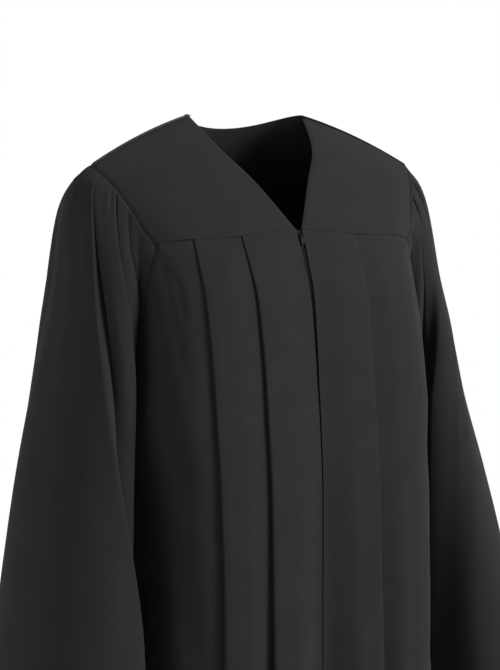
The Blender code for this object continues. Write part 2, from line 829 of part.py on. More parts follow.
def make_pull_tab(material):
    """The drop-shaped tab: its bar lies in the arch, and the cloth stops it from hanging further."""
    _, down, out = chest_frame()
    pivot = pull_tab_pivot()
    lie = (down * math.cos(TAB_REST_TILT) - out * math.sin(TAB_REST_TILT)).normalized()
    lift = (out * math.cos(TAB_REST_TILT) + down * math.sin(TAB_REST_TILT)).normalized()
    neck = TAB_HALF_WIDTH * 0.82
    end = TAB_LENGTH - TAB_HALF_WIDTH
    half_outer = [
        (-TAB_BAR / 2, neck * 0.8),
        (0.0002, neck),
        (TAB_WINDOW_LENGTH, neck),
        (end * 0.8, TAB_HALF_WIDTH),
    ]
    for step in range(4):
        angle = math.pi / 2 * step / 4
        half_outer.append((end + TAB_HALF_WIDTH * math.sin(angle), TAB_HALF_WIDTH * math.cos(angle)))
    outer = half_outer + [(end + TAB_HALF_WIDTH, 0.0)]
    outer += [(along, -across) for along, across in reversed(half_outer)]
    window_start = TAB_BAR / 2
    window_end = TAB_BAR / 2 + TAB_WINDOW_LENGTH
    half = len(half_outer)
    inner = []
    for index in range(len(outer)):
        if index < half:
            part = ease(index / (half - 1))
            side = 1
        elif index == half:
            part, side = 1, 0
        else:
            part = ease((len(outer) - 1 - index) / (half - 1))
            side = -1
        inner.append((window_start + (window_end - window_start) * part, TAB_WINDOW_HALF_WIDTH * side))
    tab_data = bmesh.new()
    layers = []
    for rise in (TAB_THICKNESS / 2, -TAB_THICKNESS / 2):
        for line in (outer, inner):
            layers.append([
                tab_data.verts.new(lie * along + lift * rise + Vector((across, 0, 0)))
                for along, across in line
            ])
    top_outer, top_inner, low_outer, low_inner = layers
    for index in range(len(outer)):
        after = (index + 1) % len(outer)
        tab_data.faces.new((top_outer[index], top_outer[after], top_inner[after], top_inner[index]))
        tab_data.faces.new((low_outer[after], low_outer[index], low_inner[index], low_inner[after]))
        tab_data.faces.new((top_outer[after], top_outer[index], low_outer[index], low_outer[after]))
        tab_data.faces.new((top_inner[index], top_inner[after], low_inner[after], low_inner[index]))
    return finish_mesh("zip_pull_tab", tab_data, material, location=pivot)


def main():
    clear_scene()
    cloth = make_material("black cloth", CLOTH_BLACK, 0.85)
    tape_cloth = make_material("black zip tape", ZIP_BLACK, 0.8)
    metal = make_material("black zip metal", ZIP_BLACK, 0.35)

    front, back = front_grid(), back_grid()
    front_yoke, back_yoke = front_yoke_grid(), back_yoke_grid()
    bottom = (len(BODY) - 1,)
    make_wall("front_left", front, cloth, flat_rows=(0,) + bottom)
    make_wall("front_right", mirror_grid(front), cloth, flat_rows=(0,) + bottom)
    make_wall("back", back, cloth, flat_rows=(0,) + bottom)
    make_wall("yoke_front_left", front_yoke, cloth, flat_rows=(YOKE_ROWS,), seam_rows=(0,))
    make_wall("yoke_front_right", mirror_grid(front_yoke), cloth, flat_rows=(YOKE_ROWS,), seam_rows=(0,))
    make_wall("yoke_back", back_yoke, cloth, flat_rows=(YOKE_ROWS,), seam_rows=(0,))

    sleeve = sleeve_grid(head_loop(front, back, front_yoke, back_yoke))
    cuff = (len(sleeve) - 1,)
    make_wall("sleeve_left", sleeve, cloth, closed=True, turn=-1, flat_rows=cuff)
    make_wall("sleeve_right", mirror_grid(sleeve, closed=True), cloth, closed=True, flat_rows=cuff)

    tape = tape_grid()
    make_wall("zip_tape_left", tape, tape_cloth, wall=TAPE_WALL)
    make_wall("zip_tape_right", mirror_grid(tape), tape_cloth, wall=TAPE_WALL)
    make_slider(metal)
    make_pull_tab(metal)


main()
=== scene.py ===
"""A black choir robe, worn: sewn yokes, knife pleats, bell sleeves, a front zip and its stage.

Metres, +Z up. The front faces -Y and the robe's left side is +X. Lengths across are called x,
lengths towards the front are called reach, and heights are measured from the shoulders' mount.
"""
import bisect
import functools
import math
from collections import namedtuple

import bpy
import numpy as np
from mathutils import Matrix, Vector, noise


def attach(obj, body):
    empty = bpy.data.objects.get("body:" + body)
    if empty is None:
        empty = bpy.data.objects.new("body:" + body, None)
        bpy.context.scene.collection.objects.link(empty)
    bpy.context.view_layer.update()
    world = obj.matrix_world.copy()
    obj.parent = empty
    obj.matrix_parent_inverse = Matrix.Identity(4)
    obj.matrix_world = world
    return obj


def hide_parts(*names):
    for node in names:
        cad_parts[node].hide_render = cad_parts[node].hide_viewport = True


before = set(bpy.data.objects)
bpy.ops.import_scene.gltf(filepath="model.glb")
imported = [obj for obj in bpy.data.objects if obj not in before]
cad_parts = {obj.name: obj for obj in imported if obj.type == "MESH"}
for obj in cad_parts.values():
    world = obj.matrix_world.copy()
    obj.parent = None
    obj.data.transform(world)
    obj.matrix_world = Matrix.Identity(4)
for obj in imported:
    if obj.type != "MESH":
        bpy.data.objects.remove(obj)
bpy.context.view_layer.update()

bl_info = {
    "name": "Choir Robe",
    "version": (1, 0, 0),
    "blender": (4, 5, 0),
    "location": "View3D > Sidebar > Robe",
    "description": "Builds a worn choir robe with pleats, bell sleeves and a zip",
    "category": "Add Mesh",
}


def named_rows(kind, *rows):
    """A table's rows with their columns named."""
    return [kind(*row) for row in rows]


SEAM_GAP = 0.0003
PANEL_WALL = 0.0012
TAPE_WALL = 0.0010
TAPE_SINK = 0.0010
TAPE_BEHIND = PANEL_WALL / 2 + SEAM_GAP + TAPE_WALL / 2 + TAPE_SINK

NECK_HALF_WIDTH = 0.078
NAPE_REACH = -0.058
NAPE_HEIGHT = -0.016
SHOULDER_X = 0.2135
SHOULDER_REACH = 0.018
SHOULDER_HEIGHT = -0.058
SHOULDER_CROWN = 0.005
ZIP_END_HEIGHT = -0.750
HEM_HEIGHT = -1.200
CUFF_HEIGHT = -0.700

# The yoke seams run level round the body and fall a little towards the armholes.
FRONT_SEAM_MIDDLE = -0.131
BACK_SEAM_MIDDLE = -0.138
SEAM_CORNER = -0.147
SEAM_BOW = 0.0026
SEAM_BOW_PLACE = 0.80
SEAM_BOW_SPREAD = 0.14
SEAM_BOW_END = 0.10

# The level sections of the body: the oval, the middle edges, then the folds of both pleats.
BodyRow = namedtuple(
    "BodyRow",
    "height half_width back_half_width front_reach back_reach squareness back_squareness "
    "edge_x centre_dip fold_pitch fold_depth inner_x outer_x back_inner_x back_outer_x",
)
BODY_OVALS = (
    (-0.147, 0.200, 0.200, 0.1215, 0.105, 3.2, 3.0),
    (-0.165, 0.189, 0.197, 0.1345, 0.107, 3.5, 3.0),
    (-0.200, 0.181, 0.192, 0.1490, 0.110, 4.2, 3.1),
    (-0.250, 0.180, 0.187, 0.1575, 0.113, 5.0, 3.2),
    (-0.300, 0.181, 0.184, 0.1640, 0.115, 5.4, 3.3),
    (-0.340, 0.183, 0.183, 0.1685, 0.116, 5.6, 3.4),
    (-0.420, 0.178, 0.178, 0.1765, 0.119, 5.6, 3.5),
    (-0.550, 0.182, 0.182, 0.1810, 0.125, 5.4, 3.4),
    (-0.750, 0.196, 0.196, 0.1860, 0.138, 4.2, 3.1),
    (-1.000, 0.235, 0.235, 0.1900, 0.156, 3.2, 2.8),
    (-1.200, 0.262, 0.262, 0.1940, 0.170, 2.9, 2.6),
)
BODY_FOLDS = (
    (0.0038, 0.000, 0.0010, 0.026, 0.0750, 0.1310, 0.050, 0.112),
    (0.0034, 0.000, 0.0014, 0.026, 0.0745, 0.1315, 0.050, 0.112),
    (0.0026, 0.000, 0.0020, 0.026, 0.0730, 0.1320, 0.050, 0.113),
    (0.0019, 0.000, 0.0025, 0.025, 0.0715, 0.1320, 0.051, 0.114),
    (0.0014, 0.001, 0.0028, 0.024, 0.0710, 0.1320, 0.052, 0.115),
    (0.0011, 0.001, 0.0030, 0.024, 0.0710, 0.1320, 0.052, 0.115),
    (0.0009, 0.003, 0.0033, 0.023, 0.0710, 0.1310, 0.053, 0.116),
    (0.0008, 0.007, 0.0042, 0.022, 0.0720, 0.1300, 0.056, 0.120),
    (0.0003, 0.010, 0.0068, 0.022, 0.0740, 0.1340, 0.062, 0.132),
    (0.0002, 0.010, 0.0088, 0.023, 0.0860, 0.1580, 0.074, 0.158),
    (0.0002, 0.010, 0.0106, 0.024, 0.0940, 0.1740, 0.082, 0.176),
)

# How far in front of and behind the side seam the armhole edges lie, from the yoke to the underarm.
ArmholeRow = namedtuple("ArmholeRow", "height front_reach back_reach")
ARMHOLE = named_rows(
    ArmholeRow,
    (-0.147, 0.091, 0.070),
    (-0.165, 0.092, 0.074),
    (-0.200, 0.085, 0.073),
    (-0.250, 0.072, 0.062),
    (-0.300, 0.049, 0.042),
    (-0.340, 0.00015, 0.00015),
)

# Edges of the yokes, each from its upper end down.
EdgePoint = namedtuple("EdgePoint", "x reach height")
NECK_EDGE = named_rows(
    EdgePoint,
    (0.078, 0.000, 0.000),
    (0.062, 0.050, -0.040),
    (0.036, 0.0830, -0.0765),
    (0.0038, 0.1215, -0.131),
)
FRONT_YOKE_ARM_EDGE = named_rows(
    EdgePoint,
    (0.2135, 0.018, -0.058),
    (0.209, 0.033, -0.067),
    (0.200, 0.052, -0.083),
    (0.189, 0.070, -0.107),
    (0.181, 0.082, -0.128),
    (0.171, 0.091, -0.147),
)
BACK_YOKE_ARM_EDGE = named_rows(
    EdgePoint,
    (0.2135, 0.018, -0.058),
    (0.207, -0.012, -0.078),
    (0.196, -0.038, -0.102),
    (0.186, -0.056, -0.126),
    (0.178, -0.070, -0.147),
)

# One row for each level section of a sleeve, an oval whose folds turn towards the body.
SleeveRow = namedtuple("SleeveRow", "height centre_x centre_reach half_width half_depth turn")
SLEEVE = named_rows(
    SleeveRow,
    (-0.058, 0.2000, 0.014, 0.0140, 0.014, -0.55),
    (-0.070, 0.2030, 0.012, 0.0190, 0.027, -0.55),
    (-0.085, 0.2060, 0.010, 0.0250, 0.041, -0.50),
    (-0.115, 0.2080, 0.008, 0.0300, 0.056, -0.43),
    (-0.200, 0.2110, 0.008, 0.0350, 0.078, -0.38),
    (-0.270, 0.2195, 0.011, 0.0395, 0.088, -0.16),
    (-0.340, 0.2290, 0.015, 0.0455, 0.096, 0.10),
    (-0.420, 0.2400, 0.023, 0.0530, 0.106, 0.32),
    (-0.500, 0.2490, 0.032, 0.0590, 0.116, 0.55),
    (-0.580, 0.2570, 0.038, 0.0640, 0.126, 0.74),
    (-0.700, 0.2690, 0.044, 0.0730, 0.140, 0.85),
)
SLEEVE_SETTLE = 0.032
SLEEVE_STAND = 0.0014
SLEEVE_CLEAR = 0.0055
SLEEVE_CLEAR_DROP = 0.08
# The steps of the armhole's edge: their places round the sleeve, and the heights below the yoke.
HEAD_PLACES = (0, 75, 92, 107, 121, 134, 145, 151, 157, 164, 172, 180)
HEAD_HEIGHTS = (-0.147, -0.165, -0.200, -0.250, -0.300, -0.340)
HEAD_INSET = 0.006
YOKE_STEPS = 6

# Folds that run down a whole sleeve, by their place round it in degrees: 0 outer, 90 front,
# 180 inner, 270 back.
FluteRow = namedtuple("FluteRow", "place spread rise_top rise_cuff")
FLUTES = named_rows(
    FluteRow,
    (22, 15, 0.000, 0.003),
    (48, 14, 0.000, -0.002),
    (75, 10, 0.004, 0.009),
    (98, 9, 0.000, -0.010),
    (127, 9, 0.003, -0.009),
    (150, 7, -0.002, -0.006),
    (214, 8, -0.001, -0.006),
    (234, 9, 0.003, 0.009),
    (260, 9, -0.004, -0.013),
    (285, 10, 0.003, 0.008),
    (315, 12, -0.001, -0.005),
    (340, 13, 0.000, 0.003),
)

# Folds that fall from the gathered sleeve head, by their height and their place round the sleeve.
# Each has a crisp ridge that leans over a trough, towards the larger places (1) or the smaller
# ones (-1). In degrees, wide is the ridge's gentle side, narrow its crest and broad its trough.
FoldPoint = namedtuple("FoldPoint", "height place ridge trough wide narrow broad")
SLEEVE_FOLDS = {
    "right": (
        (1, (
            (-0.060, 66.0, 0.0008, -0.0050, 14, 1.6, 5),
            (-0.100, 66.2, 0.0022, -0.0110, 20, 1.6, 7),
            (-0.160, 64.2, 0.0030, -0.0200, 24, 2.4, 14),
            (-0.250, 60.8, 0.0040, -0.0320, 26, 3.2, 25),
            (-0.340, 59.2, 0.0044, -0.0390, 26, 3.6, 33),
            (-0.450, 64.0, 0.0040, -0.0380, 24, 4.0, 34),
            (-0.580, 72.0, 0.0030, -0.0220, 22, 3.6, 28),
            (-0.705, 73.0, 0.0022, -0.0040, 20, 5.0, 12),
        )),
        (1, (
            (-0.086, 95.0, 0.0006, -0.0050, 6, 1.5, 4),
            (-0.115, 97.0, 0.0026, -0.0110, 10, 1.6, 5),
            (-0.160, 101.0, 0.0048, -0.0150, 12, 2.0, 7),
            (-0.220, 106.0, 0.0068, -0.0170, 13, 2.4, 9),
            (-0.300, 113.0, 0.0072, -0.0140, 13, 2.8, 9),
            (-0.380, 120.0, 0.0046, -0.0080, 13, 3.0, 8),
            (-0.520, 124.0, 0.0000, 0.0000, 10, 4.0, 7),
        )),
        (1, (
            (-0.106, 113.0, 0.0004, -0.0044, 4, 1.5, 4),
            (-0.135, 118.0, 0.0020, -0.0090, 6, 1.6, 5),
            (-0.170, 126.0, 0.0020, -0.0070, 7, 2.0, 7),
            (-0.220, 136.0, 0.0010, -0.0040, 7, 3.0, 8),
            (-0.290, 146.0, 0.0000, 0.0000, 6, 3.0, 8),
        )),
        (1, (
            (-0.145, 136.0, 0.0000, 0.0000, 10, 10.0, 8),
            (-0.180, 140.0, 0.0080, 0.0000, 11, 11.0, 8),
            (-0.225, 145.0, 0.0120, 0.0000, 12, 12.0, 8),
            (-0.280, 150.0, 0.0110, 0.0000, 12, 12.0, 8),
            (-0.350, 156.0, 0.0000, 0.0000, 12, 12.0, 8),
        )),
        (1, (
            (-0.074, 87.0, 0.0004, -0.0028, 3, 1.2, 3),
            (-0.088, 89.5, 0.0014, -0.0040, 4, 1.3, 4),
            (-0.104, 91.0, 0.0008, -0.0022, 4, 1.8, 4),
            (-0.122, 92.0, 0.0000, 0.0000, 4, 2.4, 4),
        )),
        (1, (
            (-0.061, 30.0, 0.0006, -0.0018, 8, 4.0, 6),
            (-0.075, 22.0, 0.0012, -0.0024, 8, 4.0, 6),
            (-0.100, 17.0, 0.0006, -0.0010, 8, 5.0, 6),
            (-0.130, 16.0, 0.0000, 0.0000, 8, 5.0, 6),
        )),
        (1, (
            (-0.063, 52.0, 0.0006, -0.0018, 8, 3.0, 5),
            (-0.078, 47.0, 0.0012, -0.0022, 8, 3.5, 6),
            (-0.105, 44.0, 0.0006, -0.0010, 8, 5.0, 6),
            (-0.140, 43.0, 0.0000, 0.0000, 8, 5.0, 6),
        )),
    ),
    "left": (
        (1, (
            (-0.145, 136.0, 0.0000, 0.0000, 10, 10.0, 8),
            (-0.180, 142.0, 0.0095, 0.0000, 11, 11.0, 8),
            (-0.225, 147.0, 0.0150, 0.0000, 12, 12.0, 8),
            (-0.290, 152.0, 0.0150, 0.0000, 12, 12.0, 8),
            (-0.370, 156.0, 0.0000, 0.0000, 12, 12.0, 8),
        )),
        (1, (
            (-0.190, 102.0, 0.0000, 0.0000, 20, 7.0, 6),
            (-0.240, 106.0, 0.0060, 0.0000, 22, 7.0, 6),
            (-0.300, 109.0, 0.0105, 0.0000, 22, 7.0, 6),
            (-0.370, 111.0, 0.0130, 0.0000, 22, 7.0, 6),
            (-0.460, 111.0, 0.0120, 0.0000, 22, 7.0, 6),
            (-0.580, 109.0, 0.0070, 0.0000, 20, 7.0, 6),
            (-0.705, 106.0, 0.0020, 0.0000, 18, 7.0, 6),
        )),
        (-1, (
            (-0.104, 117.0, 0.0004, -0.0010, 10, 1.6, 3),
            (-0.140, 122.0, 0.0020, -0.0020, 12, 1.8, 4),
            (-0.175, 127.0, 0.0045, -0.0060, 14, 1.8, 4),
            (-0.210, 131.0, 0.0070, -0.0100, 16, 1.8, 5),
            (-0.250, 135.0, 0.0090, -0.0130, 18, 1.9, 6),
            (-0.300, 138.0, 0.0095, -0.0150, 18, 2.0, 8),
            (-0.345, 140.0, 0.0085, -0.0160, 16, 2.2, 10),
            (-0.420, 140.0, 0.0060, -0.0150, 14, 2.6, 11),
            (-0.520, 136.0, 0.0030, -0.0120, 14, 3.2, 12),
            (-0.705, 126.0, 0.0016, -0.0050, 14, 5.0, 12),
        )),
        (1, (
            (-0.072, 82.0, 0.0006, -0.0034, 5, 1.4, 4),
            (-0.086, 84.0, 0.0014, -0.0052, 6, 1.6, 4),
            (-0.115, 87.0, 0.0006, -0.0012, 6, 2.4, 5),
            (-0.150, 89.0, 0.0000, 0.0000, 6, 3.0, 5),
        )),
        (1, (
            (-0.088, 99.0, 0.0006, -0.0036, 5, 1.4, 3),
            (-0.101, 102.0, 0.0016, -0.0056, 6, 1.5, 4),
            (-0.120, 105.0, 0.0008, -0.0018, 6, 2.2, 5),
            (-0.150, 107.0, 0.0000, 0.0000, 6, 3.0, 5),
        )),
        (1, (
            (-0.104, 115.0, 0.0006, -0.0034, 4, 1.4, 3),
            (-0.117, 118.0, 0.0014, -0.0050, 4, 1.5, 3),
            (-0.135, 122.0, 0.0004, -0.0010, 5, 2.0, 4),
            (-0.155, 124.0, 0.0000, 0.0000, 5, 3.0, 4),
        )),
        (1, (
            (-0.126, 131.0, 0.0004, -0.0028, 4, 1.4, 3),
            (-0.139, 134.0, 0.0012, -0.0044, 4, 1.5, 3),
            (-0.160, 138.0, 0.0004, -0.0008, 5, 2.0, 4),
            (-0.185, 140.0, 0.0000, 0.0000, 5, 3.0, 4),
        )),
        (1, (
            (-0.210, 78.0, 0.0000, 0.0000, 5, 3.0, 5),
            (-0.250, 80.0, 0.0007, 0.0000, 4, 2.6, 5),
            (-0.320, 85.0, 0.0009, 0.0000, 4, 2.6, 6),
            (-0.400, 89.0, 0.0007, 0.0000, 5, 3.0, 6),
            (-0.520, 91.0, 0.0000, 0.0000, 6, 3.0, 6),
        )),
    ),
}
# How far a ridge leans over its trough for its height, and how wide its leaning part is.
FOLD_LEAN = 0.42
FOLD_LEAN_SPREAD = 1.6
FOLD_RISE_DROP = 0.008
# The gathered head stands proud of its seam near the shoulder, and settles as it falls.
HEAD_PUFF = {"right": 0.0060, "left": 0.0038}
HEAD_PUFF_START = 0.010
HEAD_PUFF_DROP = 0.045
HEAD_PUFF_SHARE = 0.45
# The flutes on the front of the left sleeve are low at its head and stronger at its cuff.
LEFT_FLUTE_HEAD = 0.12
LEFT_FLUTE_GROWTH = 0.33

# Creases, listed one by one. Each runs from its top to its foot, as a soft trough (depth below zero) or
# ridge. On the body, across is the length round it from the middle. On a sleeve, it is the place.
CreaseRow = namedtuple("CreaseRow", "top foot across_top across_foot bow spread depth fade")
FRONT_CREASES = {
    "right": (
        (-0.150, -0.330, 0.176, 0.158, 0.004, 0.0090, -0.0022, 0.15),
        (-0.170, -0.250, 0.166, 0.160, -0.002, 0.0060, -0.0022, 0.35),
        (-0.240, -0.480, 0.205, 0.150, 0.006, 0.0150, -0.0040, 0.25),
        (-0.400, -0.700, 0.190, 0.158, -0.004, 0.0170, -0.0050, 0.30),
        (-0.200, -0.520, 0.100, 0.104, 0.003, 0.0160, -0.0012, 0.30),
        (-0.300, -0.760, 0.046, 0.043, -0.003, 0.0150, -0.0014, 0.30),
        (-0.640, -1.190, 0.190, 0.215, 0.004, 0.0260, -0.0110, 0.35),
        (-0.700, -1.190, 0.115, 0.128, 0.003, 0.0200, -0.0060, 0.35),
        (-0.720, -1.190, 0.048, 0.058, -0.002, 0.0180, -0.0050, 0.35),
        (-0.800, -1.195, 0.236, 0.290, 0.002, 0.0280, -0.0120, 0.40),
    ),
    "left": (
        (-0.150, -0.300, 0.172, 0.160, -0.003, 0.0090, -0.0018, 0.15),
        (-0.230, -0.460, 0.200, 0.156, 0.004, 0.0150, -0.0036, 0.25),
        (-0.180, -0.480, 0.103, 0.099, -0.003, 0.0170, -0.0014, 0.30),
        (-0.260, -0.700, 0.044, 0.048, 0.003, 0.0150, -0.0014, 0.30),
        (-0.420, -0.760, 0.186, 0.168, 0.004, 0.0180, -0.0045, 0.30),
        (-0.660, -1.190, 0.186, 0.222, -0.003, 0.0260, -0.0110, 0.35),
        (-0.730, -1.190, 0.118, 0.124, 0.003, 0.0200, -0.0060, 0.35),
        (-0.700, -1.190, 0.050, 0.054, 0.002, 0.0180, -0.0050, 0.35),
        (-0.780, -1.195, 0.240, 0.284, -0.003, 0.0280, -0.0120, 0.40),
    ),
}
BACK_CREASES = {
    "right": (
        (-0.155, -0.420, 0.150, 0.136, -0.004, 0.0140, -0.0026, 0.20),
        (-0.240, -0.560, 0.192, 0.160, 0.005, 0.0160, -0.0040, 0.30),
        (-0.200, -0.640, 0.078, 0.084, 0.003, 0.0170, -0.0018, 0.30),
        (-0.300, -0.900, 0.022, 0.026, 0.002, 0.0160, -0.0026, 0.30),
        (-0.620, -1.195, 0.180, 0.204, -0.004, 0.0260, -0.0110, 0.35),
        (-0.700, -1.195, 0.100, 0.118, 0.003, 0.0200, -0.0060, 0.35),
        (-0.800, -1.195, 0.226, 0.268, 0.003, 0.0260, -0.0110, 0.40),
        (-0.720, -1.195, 0.030, 0.044, 0.002, 0.0180, -0.0060, 0.35),
    ),
    "left": (
        (-0.155, -0.380, 0.146, 0.140, 0.003, 0.0140, -0.0024, 0.20),
        (-0.250, -0.540, 0.190, 0.164, -0.004, 0.0160, -0.0040, 0.30),
        (-0.220, -0.600, 0.082, 0.078, -0.003, 0.0170, -0.0018, 0.30),
        (-0.280, -0.850, 0.028, 0.022, 0.002, 0.0160, -0.0020, 0.30),
        (-0.640, -1.195, 0.176, 0.210, 0.004, 0.0260, -0.0110, 0.35),
        (-0.720, -1.195, 0.104, 0.114, -0.003, 0.0200, -0.0060, 0.35),
        (-0.780, -1.195, 0.224, 0.272, -0.002, 0.0260, -0.0110, 0.40),
        (-0.700, -1.195, 0.034, 0.040, -0.002, 0.0180, -0.0060, 0.35),
    ),
}
SLEEVE_CREASES = {
    "right": (
        (-0.220, -0.560, 60, 52, 3, 9.0, -0.0016, 0.30),
        (-0.300, -0.690, 14, 8, -2, 11.0, -0.0018, 0.30),
        (-0.240, -0.600, 296, 300, 3, 9.0, -0.0020, 0.30),
        (-0.180, -0.500, 262, 256, -2, 7.0, -0.0030, 0.25),
    ),
    "left": (
        (-0.260, -0.620, 56, 50, -3, 10.0, -0.0014, 0.30),
        (-0.320, -0.690, 18, 12, 2, 12.0, -0.0016, 0.30),
        (-0.260, -0.640, 300, 296, -3, 9.0, -0.0020, 0.30),
        (-0.200, -0.520, 258, 262, 2, 7.0, -0.0030, 0.25),
    ),
}

# The seam allowance behind each seam: how far it lies inside, and how far it reaches on.
ALLOWANCE_INSIDE = 0.0034
ALLOWANCE_DEPTH = 0.010
SIDE_ALLOWANCE = 0.007
ARM_ALLOWANCE_INSIDE = 0.0022
ARM_ALLOWANCE_DEPTH = 0.009
ARM_ALLOWANCE_EDGE = 0.0020
ARM_ALLOWANCE_AIM_X = 0.14
YOKE_ALLOWANCE_STEPS = ((0.5, 0.0002), (1.0, 0.0012), (1.0, ALLOWANCE_DEPTH))
SHOULDER_ALLOWANCE = (0, -0.006, -0.0016)
NAPE_ALLOWANCE = (0, 0, -0.0010)

# The turned-up hem: its stitched line outside, and its extra layer inside.
STITCH_DROP = 0.001
STITCH_SPREAD = 0.0022
STITCH_DEPTH = 0.0004
HEM_STEP = 0.0012
HEM_LAYER = 0.9

# The soft unevenness of each cloth piece starts from its own number.
SEEDS = {
    ("front", "left"): 3.1, ("front", "right"): 11.7,
    ("back", "left"): 21.3, ("back", "right"): 34.9,
    ("sleeve", "left"): 41.0, ("sleeve", "right"): 57.0,
    ("yoke", "both"): 71.0,
}

TOOTH_LENGTH = 0.0009
TOOTH_HALF_WIDTH = 0.00115
TOOTH_HALF_DEPTH = 0.00055
TOOTH_FROM_MIDDLE = 0.00055
TOOTH_ROWS = (0.75, 1.0, 0.75)
TOOTH_ROUNDING = 0.00012
TEETH_BELOW_SLIDER = 0.0075
TEETH_ABOVE_END = 0.004
STOP_LENGTH = 0.0036
STOP_HALF_WIDTH = 0.0024
STOP_HALF_DEPTH = 0.0009
STOP_ROWS = (0.8, 1.0, 1.0, 0.8)
STOP_ABOVE_END = 0.0045
STOP_ROUNDING = 0.0004

SLIDER_TOP = -0.1350
SLIDER_LENGTH = 0.0090
SLIDER_HALF_WIDTH = 0.0028
SLIDER_UNDER = -0.0007
SLIDER_OVER = 0.0013
SLIDER_ROWS = (0.60, 1.00, 1.00, 0.90, 0.66)
SLIDER_SLOT = (0.0022, SLIDER_LENGTH * 1.2, 0.0007)
ARCH_PLACE = SLIDER_LENGTH * 0.42
ARCH_HALF_LENGTH = 0.0033
ARCH_RISE = 0.0026
ARCH_BAND = 0.0006
TAB_LENGTH = 0.0115
TAB_HALF_WIDTH = 0.0023
TAB_THICKNESS = 0.0009
TAB_BAR = 0.0009
TAB_ROWS = (0.66, 0.82, 0.82, 0.82, 0.90, 1.00, 1.00, 0.93, 0.58)
TAB_PIVOT_RISE = 0.0024
TAB_REST_TILT = math.radians(4)
WINDOW_RADIUS = 0.0011
WINDOW_PLACE = 0.0017
WINDOW_STRETCH = (1.25, 1.65, 1)
DIMPLE_RADIUS = 0.0015
DIMPLE_PLACE = TAB_LENGTH * 0.72
DIMPLE_STRETCH = (1, 1.4, 1)
DIMPLE_SINK = 0.00012

# Along a seam each edge is drawn in by its stitches, over a narrow strip.
SEAM_ROLL = 0.0016
SEAM_STRIP = 0.0020
SEAM_PRESS = 0.0008
SEAM_PRESS_DROP = 0.0022
SEAM_SLOPE_DROP = 0.030
YOKE_FOOT_PRESS = 0.0007
YOKE_FOOT_STRIP = 0.0024
YOKE_HEAD_PRESS = 0.0005
YOKE_HEAD_STRIP = 0.0026
YOKE_EVEN_EDGE = 0.02
YOKE_UNEVENNESS = 0.8
CREASE_START_DROP = 0.020
CREASE_EDGE = 0.012
# A crease fades out towards its foot, unless it runs on into the hem.
CREASE_IN_HEM = -1.18
CREASE_FOOT_FADE = 0.45
ARM_RIM = 0.0060
# The cloth dips beside the armhole just below the yoke's corner.
CORNER_PINCH = 0.0034
PINCH_PLACE = 0.0034
PINCH_SPREAD = 0.0024
PINCH_START_DROP = 0.0012
PINCH_DROP = 0.011
RIM_SHARES = (1.0, 0.72, 0.5, 0.32, 0.16, 0.0)

# Steps of the fine cloth. The body's first rows lie just below the seam, and the others are given
# as the height that they reach and their step.
FIRST_ROW_DROPS = (0.0, 0.0007, 0.0015, 0.0025, 0.004, 0.006)
ROW_STEPS = (
    (-0.20, 0.0035), (-0.66, 0.0062), (HEM_HEIGHT + 0.030, 0.0125), (HEM_HEIGHT + 0.004, 0.003),
)
FINE_SHARES = [0.0, 0.012, 0.026, 0.045]
BACK_YOKE_FINE_SHARES = (0.0024, 0.0040)
FRONT_SPANS = (26, 24, 44)
BACK_SPANS = (24, 24, 44)
FOLD_ARC_STEPS = 7
FOLD_RUN_STEPS = 4
YOKE_ROWS = 40
YOKE_COLUMNS = 60
NECK_COLUMNS = 48
TAPE_STEPS = 8
TAPE_FIRST_X = 0.0006
TAPE_WIDTH = 0.0119
TAPE_BELOW_SEAM = 0.002
TAPE_FOLLOW = 0.9
# A sleeve's columns: from one place round it to the next, and how many.
SLEEVE_SPANS = (
    (0, 58, 29), (58, 150, 118), (150, 180, 18), (180, 210, 15), (210, 302, 66), (302, 360, 29),
)
SLEEVE_ROWS = 98
# The back yoke is drawn smooth, so that the corner of its neck edge leaves no ridge below it.
BACK_YOKE_PASSES = 160
SLEEVE_PASSES = 2
SLEEVE_HEAD_ROWS = 8
SLEEVE_HEAD_DOWN = 0.018
SLEEVE_STAND_DOWN = 0.006

# Each light's place, the point that it is turned to and its size, and then the camera's view.
KEY_LIGHT = ((1.35, -2.05, 1.00), (0, 0, -0.30), 1.0)
SIDE_LIGHT = ((-2.40, -0.75, 0.10), (0, 0, -0.35), 1.4)
FLOOR_RADIUS = 2.0
CAMERA_AIM = (0, 0, -0.262)
CAMERA_AZIMUTH = math.radians(-30)
CAMERA_ELEVATION = math.radians(5)
CAMERA_DISTANCE = 2.5
CAMERA_SHIFT = 0.006


class RobeCloth(bpy.types.PropertyGroup):
    """The cloth's thickness, colours and creases."""

    wall: bpy.props.FloatProperty(
        name="Cloth thickness", description="Thickness of one layer of the cloth",
        default=0.0008, min=0.0003, max=0.0012, unit="LENGTH", precision=5,
    )
    hem: bpy.props.FloatProperty(
        name="Hem depth", description="Depth of the hem that is turned up inside",
        default=0.026, min=0.0, max=0.06, unit="LENGTH",
    )
    crease: bpy.props.FloatProperty(
        name="Crease strength", description="How deep the hand-laid creases are",
        default=1.0, min=0.0, max=1.5,
    )
    slub: bpy.props.FloatProperty(
        name="Unevenness", description="Height of the cloth's soft unevenness",
        default=0.0008, min=0.0, max=0.003, unit="LENGTH", precision=5,
    )
    colour: bpy.props.FloatVectorProperty(
        name="Cloth colour", description="Colour of the cloth where it lies smooth",
        subtype="COLOR", size=4, default=(0.0120, 0.0120, 0.0130, 1.0), min=0.0, max=1.0,
    )
    sheen: bpy.props.FloatProperty(
        name="Sheen", description="Soft light along the cloth's edges",
        default=0.10, min=0.0, max=1.0,
    )
    threads: bpy.props.FloatProperty(
        name="Threads a metre", description="Number of threads in a metre of the weave",
        default=2400.0, min=500.0, max=6000.0,
    )


